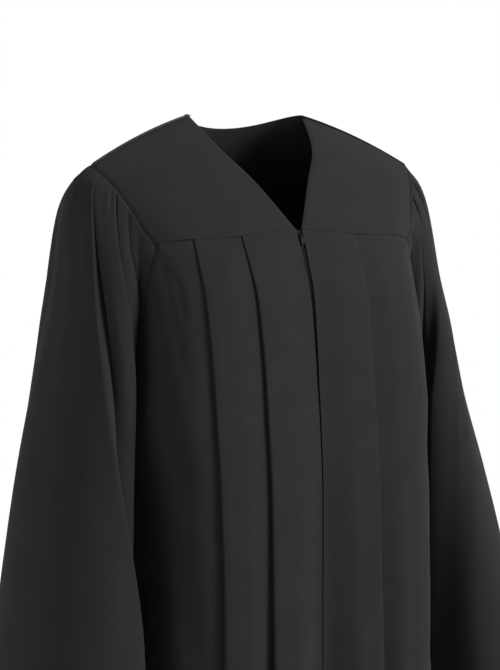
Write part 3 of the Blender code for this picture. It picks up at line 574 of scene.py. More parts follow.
class RobeZip(bpy.types.PropertyGroup):
    """The zip's sizes and colours."""

    tooth_pitch: bpy.props.FloatProperty(
        name="Tooth pitch", description="Distance from one tooth to the next on one tape",
        default=0.0017, min=0.001, max=0.004, unit="LENGTH", precision=5,
    )
    metal_colour: bpy.props.FloatVectorProperty(
        name="Slider colour", description="Enamel colour of the slider and the pull tab",
        subtype="COLOR", size=4, default=(0.0045, 0.0045, 0.0050, 1.0), min=0.0, max=1.0,
    )
    tape_colour: bpy.props.FloatVectorProperty(
        name="Tape colour", description="Colour of the zip's tapes and teeth",
        subtype="COLOR", size=4, default=(0.0090, 0.0090, 0.0100, 1.0), min=0.0, max=1.0,
    )


class RobeStage(bpy.types.PropertyGroup):
    """The floor, the lights and the camera."""

    floor_height: bpy.props.FloatProperty(
        name="Floor height", description="Height of the floor below the shoulders",
        default=-1.40, unit="LENGTH",
    )
    sky: bpy.props.FloatProperty(
        name="Room light", description="Strength of the even light from all round",
        default=0.33, min=0.0, max=4.0,
    )
    key: bpy.props.FloatProperty(
        name="Key light", description="Power of the soft light at the front",
        default=95.0, min=0.0, unit="POWER",
    )
    fill: bpy.props.FloatProperty(
        name="Side light", description="Power of the weaker light on the robe's right side",
        default=19.0, min=0.0, unit="POWER",
    )
    lens: bpy.props.FloatProperty(
        name="Focal length", description="Focal length of the camera in millimetres",
        default=112.4, min=20.0, max=300.0,
    )


def ease(value):
    value = min(max(value, 0.0), 1.0)
    return value * value * (3 - 2 * value)


def smooth_curve(points, marks, mark):
    """A point on the smooth curve that passes through the points at their marks."""
    last = len(points) - 1
    first = min(bisect.bisect_right(marks, mark), last) - 1
    span = marks[first + 1] - marks[first]
    part = (mark - marks[first]) / span

    def rise(index):
        before, after = max(index - 1, 0), min(index + 1, last)
        return (points[after] - points[before]) * (span / (marks[after] - marks[before]))

    return (
        points[first] * (1 + 2 * part) * (1 - part) ** 2
        + rise(first) * part * (1 - part) ** 2
        + points[first + 1] * part * part * (3 - 2 * part)
        + rise(first + 1) * part * part * (part - 1)
    )


class SmoothTable:
    """A table whose columns are smooth curves through its rows, keyed by the first column."""

    def __init__(self, rows):
        self.kind = type(rows[0])
        self.keys = [abs(row[0]) for row in rows]
        self.values = np.array(rows)
        self.known = {}

    def at(self, key):
        key = round(min(max(abs(key), self.keys[0]), self.keys[-1]), 5)
        if key not in self.known:
            found = smooth_curve(self.values, self.keys, key)
            self.known[key] = self.kind(*(float(value) for value in found))
        return self.known[key]


BODY_TABLE = SmoothTable([BodyRow(*oval, *folds) for oval, folds in zip(BODY_OVALS, BODY_FOLDS)])
ARMHOLE_TABLE = SmoothTable(ARMHOLE)
SLEEVE_TABLE = SmoothTable(SLEEVE)


class Quarter:
    """A quarter of a squared oval in plan, measured from its middle round to its side."""

    STEPS = 240
    LEAN = 0.004

    def __init__(self, half_width, reach, squareness):
        power = 2 / squareness
        self.points = []
        for step in range(self.STEPS + 1):
            angle = math.pi / 4 * (1 - math.cos(math.pi * step / self.STEPS))
            across = half_width * math.sin(angle) ** power
            out = reach * max(math.cos(angle), 0.0) ** power
            self.points.append((across, out))
        self.lengths = [0.0]
        for before, after in zip(self.points, self.points[1:]):
            self.lengths.append(self.lengths[-1] + math.dist(before, after))

    def at(self, along):
        along = min(max(along, 0.0), self.lengths[-1])
        first = min(bisect.bisect_right(self.lengths, along) - 1, self.STEPS - 1)
        span = self.lengths[first + 1] - self.lengths[first]
        part = (along - self.lengths[first]) / span
        before, after = self.points[first], self.points[first + 1]
        return (before[0] + (after[0] - before[0]) * part, before[1] + (after[1] - before[1]) * part)

    def length_at_x(self, across):
        first = max(step for step in range(self.STEPS) if self.points[step][0] <= across)
        before, after = self.points[first], self.points[first + 1]
        part = (across - before[0]) / (after[0] - before[0])
        return self.lengths[first] + (self.lengths[first + 1] - self.lengths[first]) * part

    def length_at_reach(self, reach):
        first = max(step for step in range(self.STEPS) if self.points[step][1] >= reach)
        before, after = self.points[first], self.points[first + 1]
        part = (before[1] - reach) / (before[1] - after[1])
        return self.lengths[first] + (self.lengths[first + 1] - self.lengths[first]) * part

    def place(self, along, out):
        """The plan point that stands out from the oval, at a length along it."""
        here = self.at(along)
        if along < self.LEAN:
            return (here[0], here[1] + out)
        before, after = self.at(along - self.LEAN), self.at(along + self.LEAN)
        if along > self.lengths[-1] - self.LEAN:
            return (here[0] + out, here[1])
        run = math.dist(before, after)
        normal = ((before[1] - after[1]) / run, (after[0] - before[0]) / run)
        return (here[0] + out * normal[0], here[1] + out * normal[1])


def plain_span(start, end, steps):
    """Points from start to end, both (along, out), that rise smoothly; the end is left off."""
    points = []
    for step in range(steps):
        part = step / steps
        along = start[0] + (end[0] - start[0]) * part
        points.append((along, start[1] + (end[1] - start[1]) * ease(part)))
    return points


def fold_arc(centre_along, centre_out, radius, side):
    """Half a turn of the cloth, from its upper layer down to the one below."""
    points = []
    for step in range(FOLD_ARC_STEPS + 1):
        angle = math.pi * step / FOLD_ARC_STEPS
        along = centre_along + side * radius * math.sin(angle)
        points.append((along, centre_out + radius * math.cos(angle)))
    return points


def pleated_path(start, end, start_out, folds, pitch, depth, spans):
    """A cloth section with knife pleats, as (length along the oval, distance out from it)."""
    path = []
    here = (start, start_out)
    radius = pitch / 2
    for fold, steps in zip(folds, spans):
        crest = (fold - depth - pitch, 2 * pitch)
        path += plain_span(here, crest, steps)
        edge = (fold - radius, 2 * pitch)
        path += plain_span(crest, edge, FOLD_RUN_STEPS)
        upper = fold_arc(fold - radius, 3 * radius, radius, 1)
        lower = fold_arc(fold - depth + radius, radius, radius, -1)
        path += upper
        path += plain_span(upper[-1], lower[0], FOLD_RUN_STEPS)[1:]
        path += lower
        here = (fold + radius, 0.0)
        path += plain_span(lower[-1], here, FOLD_RUN_STEPS)[1:]
    path += plain_span(here, (end - ARM_RIM, 0.0), spans[len(folds)])
    path += [(end - ARM_RIM * share, 0.0) for share in RIM_SHARES]
    return path


def crease_rise(creases, across, height, turn=None):
    """How far the listed creases raise the cloth at a place."""
    rise = 0.0
    for crease in creases:
        if not crease.foot < height < crease.top:
            continue
        part = (crease.top - height) / (crease.top - crease.foot)
        middle = crease.across_top + (crease.across_foot - crease.across_top) * part
        offset = across - middle - crease.bow * 4 * part * (1 - part)
        if turn:
            offset = (offset + turn / 2) % turn - turn / 2
        if abs(offset) > 3 * crease.spread:
            continue
        fade = ease(part / crease.fade)
        if crease.foot > CREASE_IN_HEM:
            fade *= ease((1 - part) / CREASE_FOOT_FADE)
        rise += crease.depth * fade * math.exp(-((offset / crease.spread) ** 2))
    return rise


def soft_unevenness(across, height, seed, amount):
    """Low, long unevenness of hanging cloth."""
    large = noise.noise((across * 14, height * 4, seed))
    small = noise.noise((across * 45, height * 13, seed + 7.3))
    return amount * (large + 0.3 * small)


def seam_height(middle, share):
    """The height of a yoke seam, from the middle (0) to the armhole (1)."""
    bow = SEAM_BOW * math.exp(-(((share - SEAM_BOW_PLACE) / SEAM_BOW_SPREAD) ** 2))
    return middle + (SEAM_CORNER - middle) * share + bow * ease((1 - share) / SEAM_BOW_END)


def body_heights():
    """Nominal heights of the body's fine rows, close together below the yoke seam."""
    heights = [SEAM_CORNER - drop for drop in FIRST_ROW_DROPS]
    for reached, step in ROW_STEPS:
        while heights[-1] > reached:
            heights.append(heights[-1] - step)
    heights[-1] = HEM_HEIGHT
    return heights


@functools.cache
def body_half(height, front):
    """One side's section: its row, its oval, and the lengths to its start, folds and end."""
    row, edge = BODY_TABLE.at(height), ARMHOLE_TABLE.at(height)
    if front:
        quarter = Quarter(row.half_width, row.front_reach, row.squareness)
        start, end = quarter.length_at_x(row.edge_x), quarter.length_at_reach(edge.front_reach)
        fold_places = (row.inner_x, row.outer_x)
    else:
        quarter = Quarter(row.back_half_width, row.back_reach, row.back_squareness)
        start, end = 0.0, quarter.length_at_reach(edge.back_reach)
        fold_places = (row.back_inner_x, row.back_outer_x)
    return row, quarter, start, [quarter.length_at_x(place) for place in fold_places], end


def body_section(height, front, creases, seed, settings):
    """One side's section of the front or the back as (x, y, z) points."""
    row, quarter, start, folds, end = body_half(height, front)
    spans, dip, middle = FRONT_SPANS, row.centre_dip, FRONT_SEAM_MIDDLE
    if not front:
        spans, dip, middle = BACK_SPANS, 0.0, BACK_SEAM_MIDDLE
    path = pleated_path(start, end, -dip, folds, row.fold_pitch, row.fold_depth, spans)
    drop = SEAM_CORNER - height
    seam_fade = max(1 - drop / SEAM_SLOPE_DROP, 0.0) ** 2
    crease_fade = ease(drop / CREASE_START_DROP)
    seam_roll = -SEAM_PRESS * math.exp(-((drop / SEAM_PRESS_DROP) ** 2))
    pinch = CORNER_PINCH * math.exp(-((drop / PINCH_DROP) ** 2))
    pinch *= 1 - math.exp(-((drop / PINCH_START_DROP) ** 2))
    section = []
    for along, out in path:
        edge_fade = ease((min(along - start, end - along) if front else end - along) / CREASE_EDGE)
        rise = crease_rise(creases, along, height) * settings.crease
        rise += soft_unevenness(along, height, seed, settings.slub)
        rise *= crease_fade * edge_fade
        rise -= SEAM_ROLL * math.exp(-(((end - along) / SEAM_STRIP) ** 2))
        if front:
            rise -= pinch * math.exp(-(((end - along - PINCH_PLACE) / PINCH_SPREAD) ** 2))
        across, reach = quarter.place(along, out + rise + seam_roll)
        lift = (seam_height(middle, along / end) - SEAM_CORNER) * seam_fade
        level = height + lift - (SEAM_GAP / 2 if drop == 0 else 0)
        section.append((across, -reach if front else reach, level))
    if front:
        for share in (0.15, 1.0):
            along = end + SIDE_ALLOWANCE * share
            beyond = max(along - quarter.lengths[-1], 0.0)
            across, reach = quarter.place(along, -ALLOWANCE_INSIDE)
            section.append((across, beyond - reach, level))
    return section


def mirror(point):
    return (-point[0], point[1], point[2])


def mirrored(grid):
    """The grid on the other side, with its columns turned round."""
    return [[mirror(point) for point in reversed(row)] for row in grid]


def front_grid(side, settings):
    """The front on one side; the right one is mirrored with its columns turned round."""
    creases = named_rows(CreaseRow, *FRONT_CREASES[side])
    seed = SEEDS["front", side]
    grid = [body_section(height, True, creases, seed, settings) for height in body_heights()]
    return grid if side == "left" else mirrored(grid)


def back_grid(settings):
    """The back in one piece: its left half, then its right half from the middle on."""
    halves = []
    for side in ("left", "right"):
        creases = named_rows(CreaseRow, *BACK_CREASES[side])
        seed = SEEDS["back", side]
        halves.append([body_section(height, False, creases, seed, settings) for height in body_heights()])
    grid = []
    for left, right in zip(*halves):
        middle = (0.0, (left[0][1] + right[0][1]) / 2, (left[0][2] + right[0][2]) / 2)
        grid.append(left[:0:-1] + [middle] + [mirror(point) for point in right[1:]])
    return grid


def through(points, share):
    """A point on a smooth curve through edge points, at a share of its length."""
    line = [Vector((point.x, -point.reach, point.height)) for point in points]
    lengths = [0.0]
    for before, after in zip(line, line[1:]):
        lengths.append(lengths[-1] + (after - before).length)
    return smooth_curve(line, lengths, min(max(share, 0.0), 1.0) * lengths[-1])


def shoulder_line(share, towards_back):
    """The shoulder seam from the neck outwards, half the seam gap to one side of it."""
    across = NECK_HALF_WIDTH + (SHOULDER_X - NECK_HALF_WIDTH) * share
    reach = SHOULDER_REACH * share
    crown = SHOULDER_CROWN * 4 * share * (1 - share)
    gap = SEAM_GAP / 2 if towards_back else -SEAM_GAP / 2
    return Vector((across, -reach + gap, SHOULDER_HEIGHT * share + crown))


def yoke_seam(share, front):
    """The lower edge of a yoke, from the middle to the armhole, just above the pleated panel."""
    row, quarter, start, folds, end = body_half(SEAM_CORNER, front)
    along = start + (end - start) * share
    first, last = folds[0] - row.fold_depth, folds[1]
    rise = ease((along - start) / (first - start)) if along < first else 1.0
    if along > last:
        rise = 1 - ease((along - last) / (end - last))
    across, reach = quarter.place(along, 2 * row.fold_pitch * rise)
    height = seam_height(FRONT_SEAM_MIDDLE if front else BACK_SEAM_MIDDLE, along / end)
    return Vector((across, -reach if front else reach, height + SEAM_GAP / 2))


def edge_shares(count):
    """Shares from 0 to 1 whose first and last steps are short, for a crisp seam."""
    finish = [1 - share for share in reversed(FINE_SHARES)]
    low, high = FINE_SHARES[-1], finish[0]
    inner = count - 2 * len(FINE_SHARES) + 2
    middle = [low + (high - low) * step / inner for step in range(1, inner)]
    return FINE_SHARES + middle + finish


def patch(top, bottom, left, right, across_shares, down_shares):
    """A surface between four edge curves; each is a function of a share from 0 to 1."""
    tops = [top(across) for across in across_shares]
    bottoms = [bottom(across) for across in across_shares]
    grid = []
    for down in down_shares:
        line = []
        left_edge, right_edge = left(down), right(down)
        for across, upper, lower in zip(across_shares, tops, bottoms):
            ruled = upper * (1 - down) + lower * down
            sides = left_edge * (1 - across) + right_edge * across
            corners = (tops[0] * (1 - across) + tops[-1] * across) * (1 - down)
            corners += (bottoms[0] * (1 - across) + bottoms[-1] * across) * down
            line.append(ruled + sides - corners)
        grid.append(line)
    return grid


def held_between(points, start, end):
    """The smooth curve through edge points, moved so that its ends are exactly start and end."""
    first_shift = start - through(points, 0)
    last_shift = end - through(points, 1)

    def curve(share):
        return through(points, share) + first_shift * (1 - share) + last_shift * share

    return curve


def front_yoke_grid():
    def top(share):
        return shoulder_line(share, False)

    def bottom(share):
        return yoke_seam(share, True)

    neck = held_between(NECK_EDGE, top(0), bottom(0))
    arm = held_between(FRONT_YOKE_ARM_EDGE, top(1), bottom(1))
    return patch(top, bottom, neck, arm, edge_shares(YOKE_COLUMNS), edge_shares(YOKE_ROWS))


def back_yoke_grid():
    """The back yoke from the left armhole across to the right one."""
    columns = 2 * YOKE_COLUMNS + NECK_COLUMNS
    shoulder_share = YOKE_COLUMNS / columns

    def half_top(share):
        """From the armhole (0) to the nape (0.5)."""
        if share <= shoulder_share:
            return shoulder_line(1 - share / shoulder_share, True)
        angle = math.pi / 2 * (share - shoulder_share) / (0.5 - shoulder_share)
        return Vector((
            NECK_HALF_WIDTH * math.cos(angle),
            SEAM_GAP / 2 - NAPE_REACH * math.sin(angle),
            NAPE_HEIGHT * math.sin(angle) ** 2,
        ))

    def top(share):
        return half_top(share) if share <= 0.5 else Vector(mirror(half_top(1 - share)))

    def bottom(share):
        if share <= 0.5:
            return yoke_seam(1 - 2 * share, False)
        return Vector(mirror(yoke_seam(2 * share - 1, False)))

    left = held_between(BACK_YOKE_ARM_EDGE, top(0), bottom(0))

    def right(share):
        return Vector(mirror(left(share)))

    across = [step / columns for step in range(columns + 1)]
    for share in BACK_YOKE_FINE_SHARES:
        across += [share, 1 - share]
    return patch(top, bottom, left, right, sorted(across), edge_shares(YOKE_ROWS))


def panel_edge(front):
    """The armhole's edge of a front or back panel at each head height, as (point, inner point)."""
    sign = -1 if front else 1
    line = []
    for height in HEAD_HEIGHTS:
        _, quarter, _, _, end = body_half(height, front)
        plans = (quarter.place(end, 0), quarter.place(end - HEAD_INSET, 0))
        line.append([Vector((across, sign * reach, height)) for across, reach in plans])
    return line


def head_frames(front):
    """The armhole's edge from the shoulder to the underarm as (point, away, out) frames."""
    edge_points = FRONT_YOKE_ARM_EDGE if front else BACK_YOKE_ARM_EDGE
    start = shoulder_line(1, not front)
    curve = held_between(edge_points, start, yoke_seam(1, front))
    yoke = front_yoke_grid() if front else back_yoke_grid()
    rows = edge_shares(YOKE_ROWS)
    line = []
    for step in range(YOKE_STEPS + 1):
        share = step / YOKE_STEPS
        nearest = min(range(len(rows)), key=lambda index: abs(rows[index] - share))
        inner = yoke[nearest][-4] if front else yoke[nearest][3]
        edge = yoke[nearest][-1] if front else yoke[nearest][0]
        line.append((curve(share), curve(share) + (inner - edge)))
    line += panel_edge(front)[1:]
    turn = 1 if front else -1
    frames = []
    for index, (point, inner) in enumerate(line):
        above, below = line[max(index - 1, 0)][0], line[min(index + 1, len(line) - 1)][0]
        down = below - above
        out = (down.cross(point - inner) * turn).normalized()
        frames.append((point, (out.cross(down) * turn).normalized(), out))
    return frames


def place_to_step(place):
    """The step along the armhole's edge for a place round the sleeve, both from 0."""
    for index in range(len(HEAD_PLACES) - 1):
        low, high = HEAD_PLACES[index], HEAD_PLACES[index + 1]
        if place <= high:
            return index + (place - low) / (high - low)
    return len(HEAD_PLACES) - 1


def head_loop():
    """The armhole as (seam point, out, place, share): down the front and up the back."""
    frames = {front: list(zip(*head_frames(front))) for front in (True, False)}
    sideways = Vector((1, 0, 0))
    loop = []
    for first, last, steps in SLEEVE_SPANS:
        for index in range(steps):
            place = first + (last - first) * index / steps
            front = place <= 180
            if not front:
                place = 360 - place
            step = place_to_step(place)
            point, away, out = (smooth_curve(line, range(len(line)), step) for line in frames[front])
            low = ease(step - (len(HEAD_PLACES) - 2))
            away = away.normalized().lerp(sideways, low).normalized()
            out = out.normalized().lerp(sideways, low).normalized()
            point = point + sideways * (PANEL_WALL + SEAM_GAP) * low
            start = point + away * (SEAM_GAP + PANEL_WALL / 2)
            loop.append((start, out, place if front else -place, step / YOKE_STEPS))
    return loop


def sleeve_oval(height, place):
    """A point of a sleeve's section with its direction out, for a place in degrees."""
    row = SLEEVE_TABLE.at(height)
    angle = math.radians(place)
    angle += row.turn * math.sin(angle)
    out = Vector((row.half_depth * math.cos(angle), -row.half_width * math.sin(angle), 0))
    point = Vector((
        row.centre_x + row.half_width * math.cos(angle),
        -(row.centre_reach + row.half_depth * math.sin(angle)),
        height,
    ))
    return point, out.normalized()


def flute_rise(place, down):
    rise = 0.0
    for flute in FLUTES:
        offset = (place - flute.place + 180) % 360 - 180
        amount = flute.rise_top + (flute.rise_cuff - flute.rise_top) * down
        rise += amount * math.exp(-((offset / flute.spread) ** 2))
    return rise


def fold_shift(tables, place, height):
    """How far the falling folds raise the cloth, and how far they lean it over their troughs."""
    rise, lean = 0.0, 0.0
    for towards, table in tables:
        if not table.keys[0] <= -height <= table.keys[-1]:
            continue
        row = table.at(height)
        offset = (place - row.place) * towards
        if abs(offset) > 3 * max(row.wide, row.broad):
            continue
        if offset < 0:
            rise += row.ridge * math.exp(-((offset / row.wide) ** 2))
        else:
            step = math.exp(-((offset / row.narrow) ** 2))
            rise += row.ridge * step
            rise += row.trough * (1 - step) * math.exp(-((offset / row.broad) ** 3))
        bend = math.exp(-((offset / (row.narrow * FOLD_LEAN_SPREAD)) ** 2))
        lean += towards * (row.ridge - row.trough) * FOLD_LEAN * bend
    return rise, lean


def body_side(point):
    """How far across the body reaches at a point's height and depth."""
    row = BODY_TABLE.at(point.z)
    if point.y < 0:
        half_width, reach, power = row.half_width, row.front_reach, row.squareness
    else:
        half_width, reach, power = row.back_half_width, row.back_reach, row.back_squareness
    rest = 1 - (abs(point.y) / reach) ** power
    return half_width * rest ** (1 / power) if rest > 0 else 0


def keep_beyond(value, limit, softness=0.0025):
    """The larger of two lengths, with a soft turn where they meet."""
    gap = value - limit
    return limit + (gap + math.sqrt(gap * gap + softness * softness)) / 2


def sleeve_grid(side, settings):
    """One sleeve: each column stands off the armhole and falls to the cuff."""
    creases = named_rows(CreaseRow, *SLEEVE_CREASES[side])
    seed = SEEDS["sleeve", side]
    folds = []
    for towards, line in SLEEVE_FOLDS[side]:
        folds.append((towards, SmoothTable(named_rows(FoldPoint, *line))))

    def fallen(start, place, share, down):
        height = start.z + (CUFF_HEIGHT - start.z) * down
        drop = start.z - height
        rest, out = sleeve_oval(height, place)
        lead = start - sleeve_oval(start.z, place)[0]
        lead.z = 0
        settle = math.exp(-drop / SLEEVE_SETTLE)
        fold = flute_rise(place, down) * (1 - settle)
        if side == "left" and place >= 0:
            fold *= LEFT_FLUTE_HEAD + LEFT_FLUTE_GROWTH * down
        puff = HEAD_PUFF[side] * ease(drop / HEAD_PUFF_START) * math.exp(-drop / HEAD_PUFF_DROP)
        fold += puff * (1 - ease(share / HEAD_PUFF_SHARE))
        laid = crease_rise(creases, place % 360, height, turn=360) * settings.crease
        across, level = 0.1 * math.cos(math.radians(place)), 0.1 * math.sin(math.radians(place))
        laid += soft_unevenness(across, height + level, seed, settings.slub)
        rise, lean = fold_shift(folds, abs(place), height)
        start_fade = ease(drop / FOLD_RISE_DROP)
        along = Vector((out.y, -out.x, 0)) * (1 if place > 0 else -1)
        point = rest + lead * settle + out * (fold + rise * start_fade + laid * (1 - settle))
        point += along * lean * start_fade
        if height < SEAM_CORNER:
            clear = SLEEVE_STAND + (SLEEVE_CLEAR - SLEEVE_STAND) * ease(drop / SLEEVE_CLEAR_DROP)
            point.x = keep_beyond(point.x, body_side(point) + clear)
        return point

    loop = head_loop()
    grid = []
    for depth in (ARM_ALLOWANCE_DEPTH, ARM_ALLOWANCE_EDGE):
        line = []
        for start, out, _, share in loop:
            back_in = (start - Vector((ARM_ALLOWANCE_AIM_X, start.y, start.z))).normalized()
            line.append(start - back_in * depth - out * ARM_ALLOWANCE_INSIDE)
        grid.append(line)
    for index in range(SLEEVE_HEAD_ROWS):
        part = (index / SLEEVE_HEAD_ROWS) ** 1.3
        line = []
        for start, out, place, share in loop:
            below = fallen(start, place, share, SLEEVE_HEAD_DOWN)
            plain = fallen(start, place, share, SLEEVE_STAND_DOWN)
            stand = plain.lerp(start + out * SLEEVE_STAND * 0.5, ease(share))
            bent = start.lerp(stand, part).lerp(stand.lerp(below, part), part)
            line.append(bent - out * SEAM_ROLL * (1 - part) ** 4)
        grid.append(line)
    for index in range(SLEEVE_ROWS + 1):
        down = SLEEVE_HEAD_DOWN + (1 - SLEEVE_HEAD_DOWN) * index / SLEEVE_ROWS
        grid.append([fallen(start, place, share, down) for start, _, place, share in loop])
    if side == "right":
        return [[mirror(point) for point in row] for row in grid]
    return grid


def smoothed(points, closed, passes, first_row=1):
    """The grid with its points drawn towards their neighbours, its ends kept where they are."""
    for _ in range(passes):
        moved = points.copy()
        inside = points[first_row:-1]
        vertical = (points[first_row - 1:-2] + points[first_row + 1:]) / 2
        if closed:
            level = (np.roll(inside, 1, axis=1) + np.roll(inside, -1, axis=1)) / 2
        else:
            level = inside.copy()
            level[:, 1:-1] = (inside[:, :-2] + inside[:, 2:]) / 2
        moved[first_row:-1] = inside * 0.4 + vertical * 0.3 + level * 0.3
        if not closed:
            moved[:, 0], moved[:, -1] = points[:, 0], points[:, -1]
        points = moved
    return points


def grid_directions(points, closed, turn, flat_rows=(), seam_rows=()):
    """The direction out at each grid point; flat rows keep it level, seam rows drop its Y."""
    down = np.gradient(points, axis=0)
    if closed:
        across = np.roll(points, -1, axis=1) - np.roll(points, 1, axis=1)
    else:
        steps = np.diff(points, axis=1)
        steps = steps / np.maximum(np.linalg.norm(steps, axis=2, keepdims=True), 1e-9)
        across = np.empty_like(points)
        across[:, 0], across[:, -1] = steps[:, 0], steps[:, -1]
        across[:, 1:-1] = steps[:, :-1] + steps[:, 1:]
    out = np.cross(down, across) * turn
    for row in flat_rows:
        out[row, :, 2] = 0
    for row in seam_rows:
        out[row, :, 1] = 0
    return out / np.maximum(np.linalg.norm(out, axis=2, keepdims=True), 1e-12)


def cloth_lengths(points):
    """Metres along each row and down each column, for the cloth's own pattern."""
    across = np.linalg.norm(np.diff(points, axis=1), axis=2)
    across = np.concatenate([np.zeros((len(points), 1)), np.cumsum(across, axis=1)], axis=1)
    across -= across[:, -1:] / 2
    down = np.linalg.norm(np.diff(points, axis=0), axis=2)
    down = np.concatenate([np.zeros((1, points.shape[1])), np.cumsum(down, axis=0)], axis=0)
    return across, down


def make_cloth(name, points, out, wall, inner_extra, material, closed=False):
    """A thin closed shell: the grid is the cloth's middle. inner_extra thickens it inside."""
    rows, columns = points.shape[:2]
    outer = points + out * wall / 2
    inner = points - out * (wall / 2 + inner_extra[..., None])
    vertices = np.concatenate([outer.reshape(-1, 3), inner.reshape(-1, 3)])
    offset = rows * columns
    ring = points if not closed else np.concatenate([points, points[:, :1]], axis=1)
    across, down = cloth_lengths(ring)
    faces, corners = [], []

    def add(quad):
        corners.extend((across[row, column], down[row, column]) for _, row, column in quad)
        faces.append([
            layer * offset + row * columns + column % columns for layer, row, column in quad
        ])

    spans = columns if closed else columns - 1
    for row in range(rows - 1):
        for column in range(spans):
            here, after = (row, column), (row, column + 1)
            low, low_after = (row + 1, column), (row + 1, column + 1)
            add([(0, *here), (0, *low), (0, *low_after), (0, *after)])
            add([(1, *here), (1, *after), (1, *low_after), (1, *low)])
    last = rows - 1
    for column in range(spans):
        add([(0, 0, column), (0, 0, column + 1), (1, 0, column + 1), (1, 0, column)])
        add([(0, last, column + 1), (0, last, column), (1, last, column), (1, last, column + 1)])
    if not closed:
        edge = columns - 1
        for row in range(rows - 1):
            add([(0, row + 1, 0), (0, row, 0), (1, row, 0), (1, row + 1, 0)])
            add([(0, row, edge), (0, row + 1, edge), (1, row + 1, edge), (1, row, edge)])
    centre = rows // 2, columns // 2
    face_out = np.cross(
        points[centre[0] + 1, centre[1]] - points[centre],
        points[centre[0], centre[1] + 1] - points[centre],
    )
    if np.dot(face_out, out[centre]) < 0:
        faces = [face[::-1] for face in faces]
        grouped = [corners[start:start + 4][::-1] for start in range(0, len(corners), 4)]
        corners = [corner for group in grouped for corner in group]
    mesh = bpy.data.meshes.new(name)
    mesh.from_pydata([tuple(point) for point in vertices], [], faces)
    layer = mesh.uv_layers.new(name="cloth")
    layer.data.foreach_set("uv", [value for corner in corners for value in corner])
    mesh.shade_smooth()
    mesh.set_sharp_from_angle(angle=math.radians(55))
    mesh.materials.append(material)
    mesh.update()
    piece = bpy.data.objects.new(name, mesh)
    bpy.context.scene.collection.objects.link(piece)
    return piece


def node_group(name, inputs, outputs):
    """A new shader node group with named sockets, and its in and out nodes."""
    group = bpy.data.node_groups.new(name, "ShaderNodeTree")
    for label, kind, default in inputs:
        socket = group.interface.new_socket(name=label, in_out="INPUT", socket_type=kind)
        if default is not None:
            socket.default_value = default
    for label, kind in outputs:
        group.interface.new_socket(name=label, in_out="OUTPUT", socket_type=kind)
    return group, group.nodes.new("NodeGroupInput"), group.nodes.new("NodeGroupOutput")


def add_node(tree, kind, **values):
    """A new shader node, with a value for each input that is named."""
    node = tree.nodes.new(kind)
    for label, value in values.items():
        node.inputs[label].default_value = value
    return node


def math_node(tree, operation, first, second=None):
    node = tree.nodes.new("ShaderNodeMath")
    node.operation = operation
    for index, value in enumerate((first, second)):
        if isinstance(value, (int, float)):
            node.inputs[index].default_value = value
        elif value is not None:
            tree.links.new(value, node.inputs[index])
    return node.outputs[0]


def weave_group():
    """Plain weave: threads pass over and under each other along the cloth's own lengths."""
    known = bpy.data.node_groups.get("plain weave")
    if known:
        return known
    group, into, out_of = node_group(
        "plain weave",
        (("Vector", "NodeSocketVector", None), ("Threads", "NodeSocketFloat", 2400.0),
         ("Slub", "NodeSocketFloat", 0.5)),
        (("Height", "NodeSocketFloat"), ("Shade", "NodeSocketFloat")),
    )
    links = group.links
    split = add_node(group, "ShaderNodeSeparateXYZ")
    links.new(into.outputs["Vector"], split.inputs[0])
    turn = math_node(group, "MULTIPLY", into.outputs["Threads"], math.pi)
    waves = []
    for axis in ("X", "Y"):
        turned = math_node(group, "MULTIPLY", split.outputs[axis], turn)
        waves.append(math_node(group, "SINE", turned))
    over = math_node(group, "MULTIPLY", waves[0], waves[1])
    slub = add_node(group, "ShaderNodeTexNoise", Scale=420.0, Detail=2.0)
    broad = add_node(group, "ShaderNodeTexNoise", Scale=26.0, Detail=3.0)
    for texture in (slub, broad):
        links.new(into.outputs["Vector"], texture.inputs["Vector"])
    uneven = math_node(group, "MULTIPLY", slub.outputs["Fac"], into.outputs["Slub"])
    height = math_node(group, "ADD", math_node(group, "MULTIPLY", over, 0.5), uneven)
    links.new(height, out_of.inputs["Height"])
    shade = math_node(
        group, "ADD", math_node(group, "MULTIPLY", broad.outputs["Fac"], 0.7),
        math_node(group, "MULTIPLY", slub.outputs["Fac"], 0.3),
    )
    links.new(shade, out_of.inputs["Shade"])
    return group


def new_material(name):
    """A new material, its node tree and its shader."""
    material = bpy.data.materials.new(name)
    material.use_nodes = True
    return material, material.node_tree, material.node_tree.nodes["Principled BSDF"]


def add_tone(tree, factor, colour, shares, places, shader):
    """The shader's colour, from a darker to a lighter share of the named one."""
    ramp = add_node(tree, "ShaderNodeValToRGB")
    for element, share, place in zip(ramp.color_ramp.elements, shares, places):
        element.position = place
        element.color = tuple(value * share for value in colour[:3]) + (1,)
    tree.links.new(factor, ramp.inputs["Fac"])
    tree.links.new(ramp.outputs["Color"], shader.inputs["Base Color"])


def add_bump(tree, height, strength, distance, shader):
    bump = add_node(tree, "ShaderNodeBump", Strength=strength, Distance=distance)
    tree.links.new(height, bump.inputs["Height"])
    tree.links.new(bump.outputs["Normal"], shader.inputs["Normal"])


